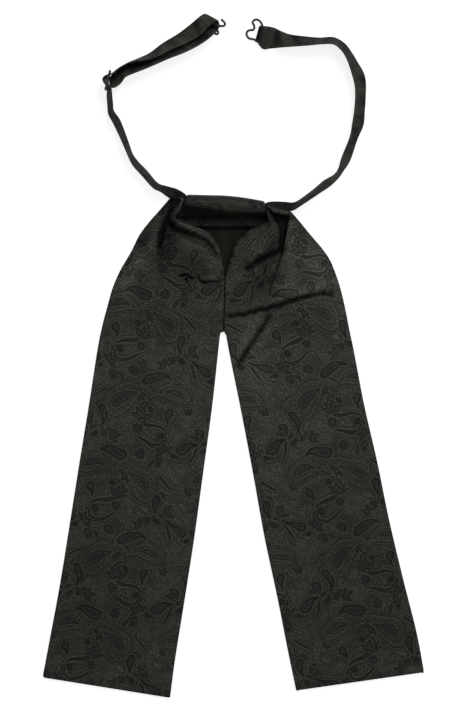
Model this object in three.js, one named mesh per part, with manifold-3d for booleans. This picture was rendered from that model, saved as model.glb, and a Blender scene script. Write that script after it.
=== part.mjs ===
// A puff tie laid flat: two wide tails pleated onto a rolled neck fold, with a narrow
// neckband that closes with a slider, a wire hook and a wire eye.
// Millimetres. The tie lies on the plane z = 0 and is seen from above (+Z).
// +Y runs from the tails to the neck opening, and +X to the side of the eye.
// The origin is on that plane, under the middle of the neck roll.
import * as THREE from 'three';
import Module from 'manifold-3d';
import { mergeVertices } from 'three/addons/utils/BufferGeometryUtils.js';

// Driving sizes
const TAIL_WALL = 2;
const ROLL_WALL = 2;
const PANEL_THICKNESS = 1.3;
const BAND_THICKNESS = 1.2;
const SLIDE_THICKNESS = 1.2;
const WIRE_RADIUS = 0.5;

// Columns and stations of the cloth meshes
const TAIL_COLUMNS = 20;
const HEAD_ROWS = 9;
const HEAD_STEPS = 3;
const BAND_COLUMNS = 2;

const materials = {
  jacquard: new THREE.MeshStandardMaterial({ color: 0x232522, roughness: 0.62, metalness: 0 }),
  lining: new THREE.MeshStandardMaterial({ color: 0x1b1b18, roughness: 0.55, metalness: 0 }),
  band: new THREE.MeshStandardMaterial({ color: 0x2b2c29, roughness: 0.6, metalness: 0 }),
  blackWire: new THREE.MeshStandardMaterial({ color: 0x0d0d0e, roughness: 0.35, metalness: 0.8 }),
};

// A column of a table at a place between its rows, on a smooth curve through them.
function between(rows, column, place) {
  const last = rows.length - 1;
  const row = Math.min(Math.floor(place), last - 1);
  const f = place - row;
  const b = rows[row][column];
  const c = rows[row + 1][column];
  const a = row > 0 ? rows[row - 1][column] : 2 * b - c;
  const d = row + 2 <= last ? rows[row + 2][column] : 2 * c - b;
  return b + 0.5 * f * (c - a + f * (2 * a - 5 * b + 4 * c - d + f * (3 * (b - c) + d - a)));
}

function mix(a, b, share) {
  return a + (b - a) * share;
}

// The volume inside a closed mesh, which is negative where its faces point in.
function signedVolume(points, faces) {
  let six = 0;
  for (let i = 0; i < faces.length; i += 3) {
    const [a, b, c] = [points[faces[i]], points[faces[i + 1]], points[faces[i + 2]]];
    six += a.dot(new THREE.Vector3().crossVectors(b, c));
  }
  return six / 6;
}

// A closed wall: two grids of points, the face and the back, joined round their rim.
// pointAt(column, row, side) gives a point, with side 0 for the face and 1 for the back.
function wallBody(pointAt, columns, rows) {
  const points = [];
  const faces = [];
  const count = (columns + 1) * (rows + 1);
  const index = (column, row, side) => side * count + row * (columns + 1) + column;
  const quad = (a, b, c, d) => faces.push(a, b, c, a, c, d);
  for (const side of [0, 1]) {
    for (let row = 0; row <= rows; row++) {
      for (let column = 0; column <= columns; column++) points.push(pointAt(column, row, side));
    }
  }
  for (let row = 0; row < rows; row++) {
    for (let column = 0; column < columns; column++) {
      quad(index(column, row, 0), index(column + 1, row, 0),
        index(column + 1, row + 1, 0), index(column, row + 1, 0));
      quad(index(column, row + 1, 1), index(column + 1, row + 1, 1),
        index(column + 1, row, 1), index(column, row, 1));
    }
  }
  for (let row = 0; row < rows; row++) {
    quad(index(0, row, 0), index(0, row + 1, 0), index(0, row + 1, 1), index(0, row, 1));
    quad(index(columns, row + 1, 0), index(columns, row, 0),
      index(columns, row, 1), index(columns, row + 1, 1));
  }
  for (let column = 0; column < columns; column++) {
    quad(index(column + 1, 0, 0), index(column, 0, 0), index(column, 0, 1), index(column + 1, 0, 1));
    quad(index(column, rows, 0), index(column + 1, rows, 0),
      index(column + 1, rows, 1), index(column, rows, 1));
  }
  if (signedVolume(points, faces) < 0) faces.reverse();
  const geometry = new THREE.BufferGeometry().setFromPoints(points);
  geometry.setIndex(faces);
  return geometry;
}

// Tails. Each row is a line across the tail, from its outer edge to the inner one that faces
// the other tail: where its two ends are, how high the cloth's underside is lifted there,
// and how far it swells between them.
const LEFT_TAIL = [
  { outX: -41.6, outY: 4.2, outLift: 7, inX: -31.3, inY: 3.2, inLift: 12, swell: 0 },
  { outX: -49.5, outY: -3.8, outLift: 4.5, inX: -34.9, inY: -5.3, inLift: 13, swell: 0 },
  { outX: -57.8, outY: -13.1, outLift: 2, inX: -37, inY: -11, inLift: 12.5, swell: 1 },
  { outX: -64.9, outY: -22.5, outLift: 0.5, inX: -24.5, inY: -15.8, inLift: 11.5, swell: 3 },
  { outX: -71.3, outY: -35.3, outLift: 0, inX: -12.4, inY: -21, inLift: 9.5, swell: 6 },
  { outX: -78.8, outY: -48, outLift: 0, inX: -4.6, inY: -32.6, inLift: 7, swell: 7.5 },
  { outX: -84.8, outY: -61.5, outLift: 0, inX: -1.8, inY: -45.6, inLift: 5, swell: 6 },
  { outX: -88.9, outY: -75.8, outLift: 0, inX: -1.2, inY: -62.3, inLift: 3.5, swell: 4 },
  { outX: -93, outY: -91.5, outLift: 0, inX: -2, inY: -82.5, inLift: 2, swell: 2 },
  { outX: -96.5, outY: -109.1, outLift: 0, inX: -4.4, inY: -97.1, inLift: 0.5, swell: 0.8 },
  { outX: -102.5, outY: -148.5, outLift: 0, inX: -10.5, inY: -150, inLift: 0, swell: 0 },
  { outX: -109.8, outY: -193.1, outLift: 0, inX: -17.6, inY: -201.8, inLift: 0, swell: 0 },
  { outX: -117, outY: -238.5, outLift: 0, inX: -24.5, inY: -252, inLift: 0, swell: 0 },
  { outX: -124.4, outY: -284.3, outLift: 0, inX: -31.9, inY: -299.3, inLift: 0, swell: 0 },
  { outX: -132.2, outY: -326.3, outLift: 0, inX: -38.6, inY: -341.6, inLift: 0, swell: 0 },
  { outX: -137.2, outY: -352.8, outLift: 0, inX: -42.2, inY: -368.9, inLift: 0, swell: 0 },
];

const RIGHT_TAIL = [
  { outX: 48.6, outY: -5.1, outLift: 7, inX: 30.6, inY: -2.2, inLift: 11, swell: 0 },
  { outX: 56.6, outY: -14.3, outLift: 4, inX: 30.6, inY: -7.5, inLift: 12, swell: 0 },
  { outX: 64.1, outY: -23.3, outLift: 1.5, inX: 30.2, inY: -12.5, inLift: 11.5, swell: 1 },
  { outX: 71.8, outY: -32.3, outLift: 0.5, inX: 21.4, inY: -16.6, inLift: 10.5, swell: 3 },
  { outX: 78, outY: -41.3, outLift: 0, inX: 12.8, inY: -22, inLift: 8.5, swell: 5 },
  { outX: 82.9, outY: -53.3, outLift: 0, inX: 6.3, inY: -30.3, inLift: 7, swell: 6 },
  { outX: 86.6, outY: -65.3, outLift: 0, inX: 2.7, inY: -40, inLift: 5.5, swell: 5.5 },
  { outX: 90, outY: -80.3, outLift: 0, inX: 0.5, inY: -52, inLift: 4, swell: 4.5 },
  { outX: 92.9, outY: -95.3, outLift: 0, inX: -0.4, inY: -71.3, inLift: 3, swell: 3 },
  { outX: 96, outY: -109.9, outLift: 0, inX: -0.3, inY: -94.9, inLift: 1, swell: 1.2 },
  { outX: 103.7, outY: -150, outLift: 0, inX: 11.6, inY: -156, inLift: 0, swell: 0 },
  { outX: 113.5, outY: -192.8, outLift: 0, inX: 20.6, inY: -203.3, inLift: 0, swell: 0 },
  { outX: 122.4, outY: -236.3, outLift: 0, inX: 28.7, inY: -248.3, inLift: 0, swell: 0 },
  { outX: 133.1, outY: -281.3, outLift: 0, inX: 38.6, inY: -294.8, inLift: 0, swell: 0 },
  { outX: 142.7, outY: -320.3, outLift: 0, inX: 46.4, inY: -333.8, inLift: 0, swell: 0 },
  { outX: 148, outY: -349.1, outLift: 0, inX: 52.7, inY: -363.2, inLift: 0, swell: 0 },
];

// Folds of the heads, in the order they act. A ridge adds from `from` to `to` millimetres
// along its line, and a pleat takes that share away. `reach` is its half width.
const LEFT_FOLDS = [
  { kind: 'ridge', from: 3, to: 0.5, reach: 3.2,
    line: [[-32.5, 1], [-36.2, -8], [-35.6, -14.6], [-25.5, -20.3], [-14.3, -25.9], [-7.5, -31.5]] },
  { kind: 'ridge', from: 4, to: 0.5, reach: 3.5, line: [[-44.5, 3], [-50.5, -13], [-55, -30]] },
  { kind: 'ridge', from: 2.5, to: 2.5, reach: 12, line: [[-36, -32], [-20, -42]] },
  { kind: 'pleat', from: 0.85, to: 0.1, reach: 3.4,
    line: [[-40.5, 2], [-43.9, -9.9], [-46.6, -20.3], [-49.4, -34]] },
  { kind: 'pleat', from: 0.7, to: 0.15, reach: 3,
    line: [[-42, -14], [-33.8, -21.4], [-23.8, -27], [-13.7, -33], [-9, -37]] },
  { kind: 'pleat', from: 0.3, to: 0.3, reach: 2, line: [[-31, -57], [-15.8, -59.3], [-5, -57]] },
];

const RIGHT_FOLDS = [
  { kind: 'ridge', from: 4, to: 2, reach: 7, line: [[31.5, -8], [30, -20], [18, -36]] },
  { kind: 'ridge', from: 4, to: 1, reach: 4.5,
    line: [[49.8, -6], [46.8, -26.3], [43, -42.8], [37, -63.8]] },
  { kind: 'ridge', from: 1.2, to: 1.2, reach: 3.5,
    line: [[4, -79], [20, -75.5], [39, -69.5], [60, -64]] },
  { kind: 'pleat', from: 0.9, to: 0.4, reach: 3.8,
    line: [[39.5, -5], [42, -13], [40.5, -26.3], [39.4, -36.8]] },
  { kind: 'pleat', from: 0.6, to: 0.15, reach: 2.2,
    line: [[39.5, -20], [37.5, -30], [28.4, -38.6], [17.4, -46.5]] },
  { kind: 'pleat', from: 0.4, to: 0.2, reach: 1.6, line: [[40.9, -38.6], [36.9, -57.3], [33.4, -65.3]] },
  { kind: 'pleat', from: 0.5, to: 0.3, reach: 2,
    line: [[1.4, -84], [18.4, -80.2], [38.5, -74.2], [59.6, -68.2], [78.2, -67.4]] },
];

// How far a point is from a bent line, and how far along the line its nearest place is.
function nearestOnLine(line, x, y) {
  let distance = Infinity;
  let along = 0;
  const stretches = line.length - 1;
  for (let i = 0; i < stretches; i++) {
    const [ax, ay] = line[i];
    const [bx, by] = line[i + 1];
    const [dx, dy] = [bx - ax, by - ay];
    const share = THREE.MathUtils.clamp(((x - ax) * dx + (y - ay) * dy) / (dx * dx + dy * dy), 0, 1);
    const here = Math.hypot(x - ax - share * dx, y - ay - share * dy);
    if (here < distance) {
      distance = here;
      along = (i + share) / stretches;
    }
  }
  return { distance, along };
}

function foldedLift(folds, x, y, lift) {
  let height = lift;
  for (const fold of folds) {
    const { distance, along } = nearestOnLine(fold.line, x, y);
    const strength = mix(fold.from, fold.to, along) * Math.exp(-((distance / fold.reach) ** 2));
    height = fold.kind === 'ridge' ? height + strength * Math.min(1, lift / 3) : height * (1 - strength);
  }
  return height;
}

// One tail: a wall that lies flat below its head and is puffed and pleated at the head,
// where its stations are closer together.
function tailGeometry(rows, folds) {
  const headSteps = HEAD_ROWS * HEAD_STEPS;
  const steps = headSteps + rows.length - 1 - HEAD_ROWS;
  const pointAt = (column, row, side) => {
    const across = column / TAIL_COLUMNS;
    const place = row < headSteps ? row / HEAD_STEPS : HEAD_ROWS + row - headSteps;
    const x = mix(between(rows, 'outX', place), between(rows, 'inX', place), across);
    const y = mix(between(rows, 'outY', place), between(rows, 'inY', place), across);
    const rise = across * across * (3 - 2 * across);
    const edge = mix(between(rows, 'outLift', place), between(rows, 'inLift', place), rise);
    const lift = Math.max(0, edge + between(rows, 'swell', place) * Math.sin(Math.PI * across));
    return new THREE.Vector3(x, y, foldedLift(folds, x, y, lift) + (side === 0 ? TAIL_WALL : 0));
  };
  return wallBody(pointAt, TAIL_COLUMNS, steps);
}

// Neck roll: a wall bent over the neckband, a tube with a steep front that ends in a sunk
// strip and a low hem. The tube's stations are even along it, from left to right.
const ROLL_TUBE_STATIONS = [
  { back: 7.4, front: 1.6, height: 17.5 },
  { back: 7.3, front: -1.6, height: 17.3 },
  { back: 6.9, front: -3.3, height: 16.9 },
  { back: 5.3, front: -4.2, height: 16.2 },
  { back: 2.7, front: -3.1, height: 15.4 },
];
// The tube's outline, as shares of its depth and height, and then the outline in front of it.
const ROLL_TUBE = [
  { depth: 0.03, height: 0 },
  { depth: 0, height: 0.2 },
  { depth: 0.03, height: 0.46 },
  { depth: 0.14, height: 0.75 },
  { depth: 0.36, height: 0.95 },
  { depth: 0.6, height: 1 },
  { depth: 0.84, height: 0.92 },
  { depth: 0.97, height: 0.74 },
  { depth: 1, height: 0.56 },
];
const ROLL_FRONT = [
  { y: -5.2, z: 6.2 },
  { y: -8.2, z: 4.6 },
  { y: -11, z: 4.2 },
  { y: -12.8, z: 4.8 },
  { y: -14.2, z: 5.7 },
  { y: -15.6, z: 5.3 },
  { y: -16.6, z: 3.9 },
  { y: -17, z: 3.2 },
];
// Where the roll starts and ends at a few places across it. Its left end slants outward
// under the edge of the left tail.
const ROLL_ENDS = [
  { y: 8, left: -29.2, right: 28.6 },
  { y: 2, left: -30.4, right: 28.6 },
  { y: -1, left: -33.6, right: 28.8 },
  { y: -5, left: -36.4, right: 29 },
  { y: -12, left: -37.5, right: 29.4 },
  { y: -17, left: -35.5, right: 29.6 },
];
const ROLL_ROWS = 12;
const ROLL_STEPS = 2;

// The roll's outline at a share of the way along it.
function rollOutline(along) {
  const place = along * (ROLL_TUBE_STATIONS.length - 1);
  const [back, front, height] = ['back', 'front', 'height']
    .map((column) => between(ROLL_TUBE_STATIONS, column, place));
  const tube = ROLL_TUBE.map((row) => ({ y: mix(back, front, row.depth), z: height * row.height }));
  return tube.concat(ROLL_FRONT);
}

// Where an end of the roll is at a place across it.
function rollEnd(column, y) {
  const last = ROLL_ENDS.length - 1;
  let row = 0;
  while (row < last - 1 && y < ROLL_ENDS[row + 1].y) row++;
  const [from, to] = [ROLL_ENDS[row], ROLL_ENDS[row + 1]];
  const share = THREE.MathUtils.clamp((y - from.y) / (to.y - from.y), 0, 1);
  return mix(from[column], to[column], share);
}

function rollGeometry() {
  const knots = ROLL_TUBE.length + ROLL_FRONT.length - 1;
  const step = 0.05;
  const pointAt = (column, row, side) => {
    const along = row / ROLL_ROWS;
    const outline = rollOutline(along);
    const place = column / ROLL_STEPS;
    const [y, z] = [between(outline, 'y', place), between(outline, 'z', place)];
    const [before, after] = [Math.max(0, place - step), Math.min(knots, place + step)];
    const wayY = between(outline, 'y', after) - between(outline, 'y', before);
    const wayZ = between(outline, 'z', after) - between(outline, 'z', before);
    const inward = side === 0 ? 0 : ROLL_WALL / Math.hypot(wayY, wayZ);
    const x = mix(rollEnd('left', y), rollEnd('right', y), along);
    return new THREE.Vector3(x, y - inward * wayZ, Math.max(0, z + inward * wayY));
  };
  return wallBody(pointAt, knots * ROLL_STEPS, ROLL_ROWS);
}

// Centre panel: the plain cloth that shows as a V between the heads, with a tongue that
// goes up into the roll. Half widths at a few heights, and the V's tip.
const PANEL_EDGE = [
  { y: 2, half: 5 },
  { y: 0.6, half: 10 },
  { y: -6, half: 12 },
  { y: -8, half: 25 },
  { y: -18, half: 23 },
  { y: -31, half: 13 },
  { y: -42, half: 6 },
  { y: -55, half: 1.5 },
];

function panelGeometry() {
  const shape = new THREE.Shape();
  shape.moveTo(-PANEL_EDGE[0].half, PANEL_EDGE[0].y);
  for (const row of PANEL_EDGE.slice(1)) shape.lineTo(-row.half, row.y);
  for (const row of PANEL_EDGE.slice().reverse()) shape.lineTo(row.half, row.y);
  shape.closePath();
  return new THREE.ExtrudeGeometry(shape, { depth: PANEL_THICKNESS, bevelEnabled: false });
}

// Neckband. Each row gives the band's lower edge and its upper edge as seen from above, how
// far the lower edge is lifted, and how wide the band is there. The band stands up by as much
// as its width is longer than the distance between the two edges.
const RIGHT_BAND = [
  { footX: 18, footY: 0, topX: 18, topY: 0, lift: 0, wide: 8 },
  { footX: 27.5, footY: -0.3, topX: 27.5, topY: -0.3, lift: 0, wide: 7 },
  { footX: 31.4, footY: -0.4, topX: 31.4, topY: -0.2, lift: 0, wide: 11 },
  { footX: 34.5, footY: 0, topX: 34, topY: 1.5, lift: 0, wide: 16 },
  { footX: 39, footY: -0.8, topX: 39, topY: 1.5, lift: 0, wide: 16 },
  { footX: 46.5, footY: -1.6, topX: 45, topY: 1.5, lift: 0, wide: 16 },
  { footX: 53, footY: -1.5, topX: 50.5, topY: 2.5, lift: 0, wide: 16 },
  { footX: 59, footY: 2, topX: 56, topY: 5.5, lift: 0, wide: 16 },
  { footX: 69, footY: 8.5, topX: 65.5, topY: 12, lift: 0, wide: 16 },
  { footX: 78, footY: 14, topX: 74, topY: 17.5, lift: 0, wide: 16 },
  { footX: 83.5, footY: 19.5, topX: 80.5, topY: 22, lift: 0, wide: 16 },
  { footX: 87.5, footY: 25, topX: 84, topY: 26.5, lift: 0, wide: 16 },
  { footX: 93, footY: 33.5, topX: 86.5, topY: 35, lift: 0, wide: 16 },
  { footX: 98.5, footY: 49.5, topX: 92.5, topY: 50, lift: 0, wide: 16 },
  { footX: 103, footY: 60, topX: 94.5, topY: 61, lift: 0, wide: 16 },
  { footX: 104, footY: 71, topX: 96, topY: 71, lift: 0, wide: 16 },
  { footX: 104.5, footY: 82.5, topX: 97, topY: 82, lift: 0, wide: 16 },
  { footX: 104.5, footY: 93, topX: 96.5, topY: 90, lift: 0, wide: 16 },
  { footX: 103, footY: 100, topX: 94.8, topY: 98, lift: 0, wide: 16 },
  { footX: 99.3, footY: 107, topX: 92.5, topY: 106, lift: 0, wide: 16 },
  { footX: 95, footY: 114, topX: 89.5, topY: 112, lift: 0, wide: 16 },
  { footX: 89, footY: 121, topX: 86, topY: 116.8, lift: 0, wide: 16 },
  { footX: 80.5, footY: 125.5, topX: 80, topY: 121, lift: 0, wide: 16 },
  { footX: 70, footY: 125, topX: 70, topY: 121.3, lift: 0, wide: 16 },
  { footX: 60, footY: 126, topX: 60.5, topY: 120.5, lift: 0, wide: 16 },
  { footX: 48, footY: 128, topX: 47, topY: 119, lift: 0, wide: 15 },
  { footX: 40.5, footY: 130, topX: 38.5, topY: 118.5, lift: 0, wide: 14 },
  { footX: 34.8, footY: 132, topX: 31.5, topY: 119, lift: 0, wide: 13.4 },
  { footX: 29, footY: 132.6, topX: 25.2, topY: 122.9, lift: 0, wide: 10.4 },
  { footX: 27.9, footY: 133, topX: 24.2, topY: 123.3, lift: 0.65, wide: 10.4 },
  { footX: 27.5, footY: 133.15, topX: 23.7, topY: 123.45, lift: 2.2, wide: 10.4 },
  { footX: 27.9, footY: 133, topX: 24.2, topY: 123.3, lift: 2.9, wide: 10.4 },
  { footX: 29, footY: 132.6, topX: 25.2, topY: 122.9, lift: 3.2, wide: 10.4 },
  { footX: 33.5, footY: 132.7, topX: 30.5, topY: 117.9, lift: 3.2, wide: 15.2 },
  { footX: 37.3, footY: 130.9, topX: 35.3, topY: 119.3, lift: 3.2, wide: 11.8 },
];

const LEFT_BAND = [
  { footX: -16.5, footY: 2.6, topX: -16.5, topY: 2.6, lift: 0, wide: 8 },
  { footX: -26.5, footY: 3.8, topX: -26.5, topY: 3.8, lift: 0, wide: 8 },
  { footX: -30, footY: 4.2, topX: -30, topY: 4.4, lift: 0, wide: 10.5 },
  { footX: -32.3, footY: 4.9, topX: -31.5, topY: 7, lift: 0, wide: 15 },
  { footX: -41, footY: 6, topX: -37, topY: 11, lift: 0, wide: 16 },
  { footX: -48.5, footY: 9.5, topX: -44, topY: 13.5, lift: 0, wide: 16 },
  { footX: -54, footY: 13, topX: -50.5, topY: 16, lift: 0, wide: 16 },
  { footX: -62.5, footY: 22.5, topX: -57.8, topY: 25, lift: 0, wide: 16 },
  { footX: -69.3, footY: 29.5, topX: -64.7, topY: 31.5, lift: 0, wide: 16 },
  { footX: -73, footY: 36, topX: -69.8, topY: 37.5, lift: 0, wide: 16 },
  { footX: -76, footY: 43, topX: -72.3, topY: 44.5, lift: 0, wide: 16 },
  { footX: -80, footY: 52, topX: -75.5, topY: 53.5, lift: 0, wide: 16 },
  { footX: -84.3, footY: 61, topX: -79.3, topY: 63, lift: 0, wide: 16 },
  { footX: -88, footY: 68, topX: -84, topY: 70, lift: 0, wide: 16 },
  { footX: -88.5, footY: 75, topX: -84.8, topY: 75, lift: 0.4, wide: 16 },
  { footX: -88.6, footY: 81, topX: -86.2, topY: 81, lift: 1.4, wide: 16 },
  { footX: -88.1, footY: 85.8, topX: -88, topY: 85.8, lift: 1.8, wide: 16 },
  { footX: -89.3, footY: 89.3, topX: -89.3, topY: 89.3, lift: 1.8, wide: 16 },
  { footX: -91.1, footY: 91.4, topX: -91.1, topY: 91.4, lift: 1.8, wide: 16 },
  { footX: -92, footY: 93.9, topX: -92, topY: 93.9, lift: 1.8, wide: 16 },
  { footX: -90.1, footY: 95.9, topX: -90.1, topY: 95.9, lift: 1.8, wide: 16 },
  { footX: -87.4, footY: 97.3, topX: -87.4, topY: 97.3, lift: 1.8, wide: 16 },
  { footX: -84.7, footY: 98.3, topX: -84.6, topY: 98.1, lift: 1.8, wide: 16 },
  { footX: -80.9, footY: 102.4, topX: -79.7, topY: 100.9, lift: 1, wide: 16 },
  { footX: -73.5, footY: 106.7, topX: -71.5, topY: 104.7, lift: 0, wide: 16 },
  { footX: -66, footY: 109.5, topX: -63, topY: 107.2, lift: 0, wide: 16 },
  { footX: -57, footY: 114, topX: -53.5, topY: 111, lift: 0, wide: 16 },
  { footX: -47.5, footY: 121.2, topX: -42.5, topY: 116.4, lift: 0, wide: 16 },
  { footX: -36, footY: 128.3, topX: -29, topY: 121, lift: 0, wide: 16 },
  { footX: -27, footY: 135.2, topX: -19.5, topY: 126.5, lift: 0, wide: 16 },
  { footX: -18.5, footY: 141.8, topX: -11.5, topY: 133, lift: 0.8, wide: 16 },
  { footX: -14.8, footY: 142.8, topX: -7.3, topY: 137, lift: 1.6, wide: 16 },
  { footX: -12.8, footY: 139.5, topX: -5.9, topY: 136.8, lift: 1.6, wide: 16 },
  { footX: -10.8, footY: 134.5, topX: -5.3, topY: 135.6, lift: 1.6, wide: 16 },
  { footX: -10, footY: 130.5, topX: -6.1, topY: 134, lift: 1.6, wide: 16 },
  { footX: -12.5, footY: 126.3, topX: -9.4, topY: 131.3, lift: 0.8, wide: 16 },
  { footX: -19, footY: 120.5, topX: -18.3, topY: 124, lift: 0, wide: 16 },
  { footX: -30, footY: 115.5, topX: -29, topY: 118.5, lift: 0, wide: 16 },
  { footX: -43.5, footY: 111, topX: -42.5, topY: 114, lift: 0, wide: 16 },
  { footX: -55.5, footY: 105.5, topX: -54, topY: 108, lift: 0, wide: 16 },
  { footX: -64.5, footY: 101.2, topX: -65, topY: 104.5, lift: 0, wide: 16 },
  { footX: -73, footY: 97.5, topX: -75, topY: 101.5, lift: 0.6, wide: 16 },
  { footX: -79.5, footY: 93.8, topX: -80.5, topY: 97, lift: 1.4, wide: 16 },
  { footX: -83.4, footY: 93.2, topX: -83.5, topY: 94.2, lift: 1.8, wide: 16 },
  { footX: -86.4, footY: 94.5, topX: -86.4, topY: 94.5, lift: 1.8, wide: 16 },
  { footX: -88, footY: 94.9, topX: -88, topY: 94.9, lift: 1.8, wide: 16 },
  { footX: -89.6, footY: 94.6, topX: -89.6, topY: 94.6, lift: 1.8, wide: 16 },
  { footX: -90.4, footY: 93.5, topX: -90.4, topY: 93.5, lift: 1.8, wide: 16 },
  { footX: -90.2, footY: 92.1, topX: -90.2, topY: 92.1, lift: 1.8, wide: 16 },
  { footX: -88.9, footY: 91.2, topX: -88.9, topY: 91.2, lift: 1.8, wide: 16 },
  { footX: -87, footY: 90.7, topX: -87, topY: 90.7, lift: 1.8, wide: 16 },
];
const BAND_SPACING = 5;

// The middle of the band's edges at a place between two rows of its table.
function bandEdges(rows, place) {
  const at = (column) => between(rows, column, place);
  const lift = Math.max(0, at('lift'));
  const foot = new THREE.Vector3(at('footX'), at('footY'), lift);
  const top = new THREE.Vector3(at('topX'), at('topY'), lift);
  const apart = foot.distanceTo(top);
  top.z += Math.sqrt(Math.max(0, at('wide') ** 2 - apart ** 2));
  return { foot, top };
}

// The places along a table where the band has a station: each row, and evenly between rows
// that are further apart than the spacing.
function bandPlaces(rows) {
  const places = [0];
  for (let row = 0; row < rows.length - 1; row++) {
    const start = bandEdges(rows, row);
    const end = bandEdges(rows, row + 1);
    const length = start.foot.distanceTo(end.foot);
    const parts = Math.max(1, Math.round(length / BAND_SPACING), length > 0 && length < 4 ? 2 : 1);
    for (let part = 1; part <= parts; part++) places.push(row + part / parts);
  }
  return places;
}

function bandGeometry(rows) {
  const places = bandPlaces(rows);
  const step = 0.1;
  const pointAt = (column, row, side) => {
    const place = places[row];
    const here = bandEdges(rows, place);
    const before = bandEdges(rows, Math.max(0, place - step));
    const after = bandEdges(rows, Math.min(rows.length - 1, place + step));
    const across = here.top.clone().sub(here.foot);
    const along = after.foot.clone().add(after.top).sub(before.foot).sub(before.top);
    const normal = new THREE.Vector3().crossVectors(along, across).normalize();
    const half = BAND_THICKNESS / 2;
    const point = here.foot.clone().lerp(here.top, column / BAND_COLUMNS);
    point.z += half * Math.abs(normal.z);
    return point.addScaledVector(normal, side === 0 ? half : -half);
  };
  return wallBody(pointAt, BAND_COLUMNS, places.length - 1);
}

// Joining and cutting of closed meshes
const wasm = await Module();
wasm.setup();

function solidOf(geometry) {
  const bare = geometry.clone();
  bare.deleteAttribute('normal');
  bare.deleteAttribute('uv');
  const merged = mergeVertices(bare);
  return new wasm.Manifold(new wasm.Mesh({
    numProp: 3,
    vertProperties: new Float32Array(merged.attributes.position.array),
    triVerts: new Uint32Array(merged.index.array),
  }));
}

function geometryOf(solid) {
  const mesh = solid.getMesh();
  const geometry = new THREE.BufferGeometry();
  geometry.setAttribute('position', new THREE.BufferAttribute(mesh.vertProperties, 3));
  geometry.setIndex(new THREE.BufferAttribute(mesh.triVerts, 1));
  return geometry;
}

// Slider: a flat slide with three bars, standing on its side round the band.
const SLIDE = { length: 15, height: 19.9, bar: 1.3, rail: 1.3, middleBar: 1.5 };
const SLIDE_CENTRE = new THREE.Vector3(-88.46, 93, SLIDE.height / 2);
const SLIDE_TURN = Math.atan2(0.97, 0.2426);

function sliderGeometry() {
  const { length, height, bar, rail, middleBar } = SLIDE;
  let solid = solidOf(new THREE.BoxGeometry(length, SLIDE_THICKNESS, height));
  const slotLength = (length - middleBar) / 2 - bar;
  for (const side of [-1, 1]) {
    const slot = new THREE.BoxGeometry(slotLength, 2 * SLIDE_THICKNESS, height - 2 * rail);
    slot.translate(side * (middleBar + slotLength) / 2, 0, 0);
    solid = solid.subtract(solidOf(slot));
  }
  return geometryOf(solid);
}

// Wire along a smooth path. Rows are its points in turn.
function wireGeometry(rows, steps) {
  const sides = 6;
  const circle = new THREE.Shape();
  for (let i = 0; i < sides; i++) {
    const angle = 2 * Math.PI * i / sides;
    const [x, y] = [WIRE_RADIUS * Math.cos(angle), WIRE_RADIUS * Math.sin(angle)];
    if (i === 0) circle.moveTo(x, y);
    else circle.lineTo(x, y);
  }
  circle.closePath();
  const path = new THREE.CatmullRomCurve3(rows.map(({ x, y, z }) => new THREE.Vector3(x, y, z)));
  return new THREE.ExtrudeGeometry(circle, { steps, extrudePath: path, bevelEnabled: false });
}

// Eye: one wire bent to a heart, whose ends meet under the band's fold.
const EYE_WIRE = [
  { x: 27.1, y: 127.75, z: 2.2 },
  { x: 25.4, y: 123.3, z: 2.2 },
  { x: 24.8, y: 121.7, z: 2.2 },
  { x: 23.2, y: 121.7, z: 2 },
  { x: 21, y: 123.6, z: 1.6 },
  { x: 18.2, y: 124.4, z: 1 },
  { x: 16.3, y: 125.9, z: 0.7 },
  { x: 15.4, y: 128, z: 0.6 },
  { x: 16.1, y: 130.2, z: 0.6 },
  { x: 18.2, y: 131.2, z: 0.6 },
  { x: 20.2, y: 131.2, z: 0.6 },
  { x: 21.3, y: 132.9, z: 0.6 },
  { x: 21.1, y: 134.9, z: 0.6 },
  { x: 20.3, y: 137, z: 0.7 },
  { x: 21.2, y: 138.3, z: 0.8 },
  { x: 23.4, y: 138.5, z: 1 },
  { x: 25.4, y: 137.3, z: 1.5 },
  { x: 27.1, y: 136, z: 2 },
  { x: 29.3, y: 135.6, z: 2.2 },
  { x: 29.7, y: 134.2, z: 2.2 },
  { x: 27.35, y: 128.4, z: 2.2 },
];

// Hook: a wire frame round the band's end fold, its tongue bent back to a hook, and an eyelet.
const HOOK_FRAME = [
  { x: -10.5, y: 134.1, z: 8.8 },
  { x: -12.9, y: 134.2, z: 1.6 },
  { x: -12.2, y: 134.3, z: 0.8 },
  { x: -9.6, y: 134.1, z: 0.8 },
  { x: -8.6, y: 134.3, z: 1.3 },
  { x: -5.9, y: 135, z: 8.4 },
  { x: -3.4, y: 135.8, z: 16.6 },
  { x: -4.3, y: 135.5, z: 17.9 },
  { x: -7.2, y: 134.2, z: 17.9 },
  { x: -8.2, y: 133.7, z: 16.6 },
  { x: -10.2, y: 134, z: 9.4 },
];
const HOOK_TONGUE = [
  { x: -5.9, y: 135, z: 8.4 },
  { x: -4, y: 133.9, z: 7.6 },
  { x: -2.4, y: 133.5, z: 6.8 },
  { x: -0.7, y: 134.4, z: 6.4 },
  { x: -0.9, y: 136.2, z: 6.4 },
  { x: -2, y: 137.6, z: 6.8 },
  { x: -3.5, y: 138.8, z: 7.6 },
];
const HOOK_EYELET = { x: -6.7, y: 129.6, z: 1.2, radius: 1.4 };
const EYELET_SIDES = 14;

function hookRows() {
  const { x, y, z, radius } = HOOK_EYELET;
  const rows = [{ x: -9.2, y: 134.1, z: 0.9 }, { x: -7.9, y: 132.2, z: 1 }];
  for (let i = 0; i < EYELET_SIDES; i++) {
    const angle = Math.PI * (0.6 - 1.9 * i / (EYELET_SIDES - 1));
    rows.push({ x: x + radius * Math.cos(angle), y: y + radius * Math.sin(angle), z });
  }
  return rows;
}

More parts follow.
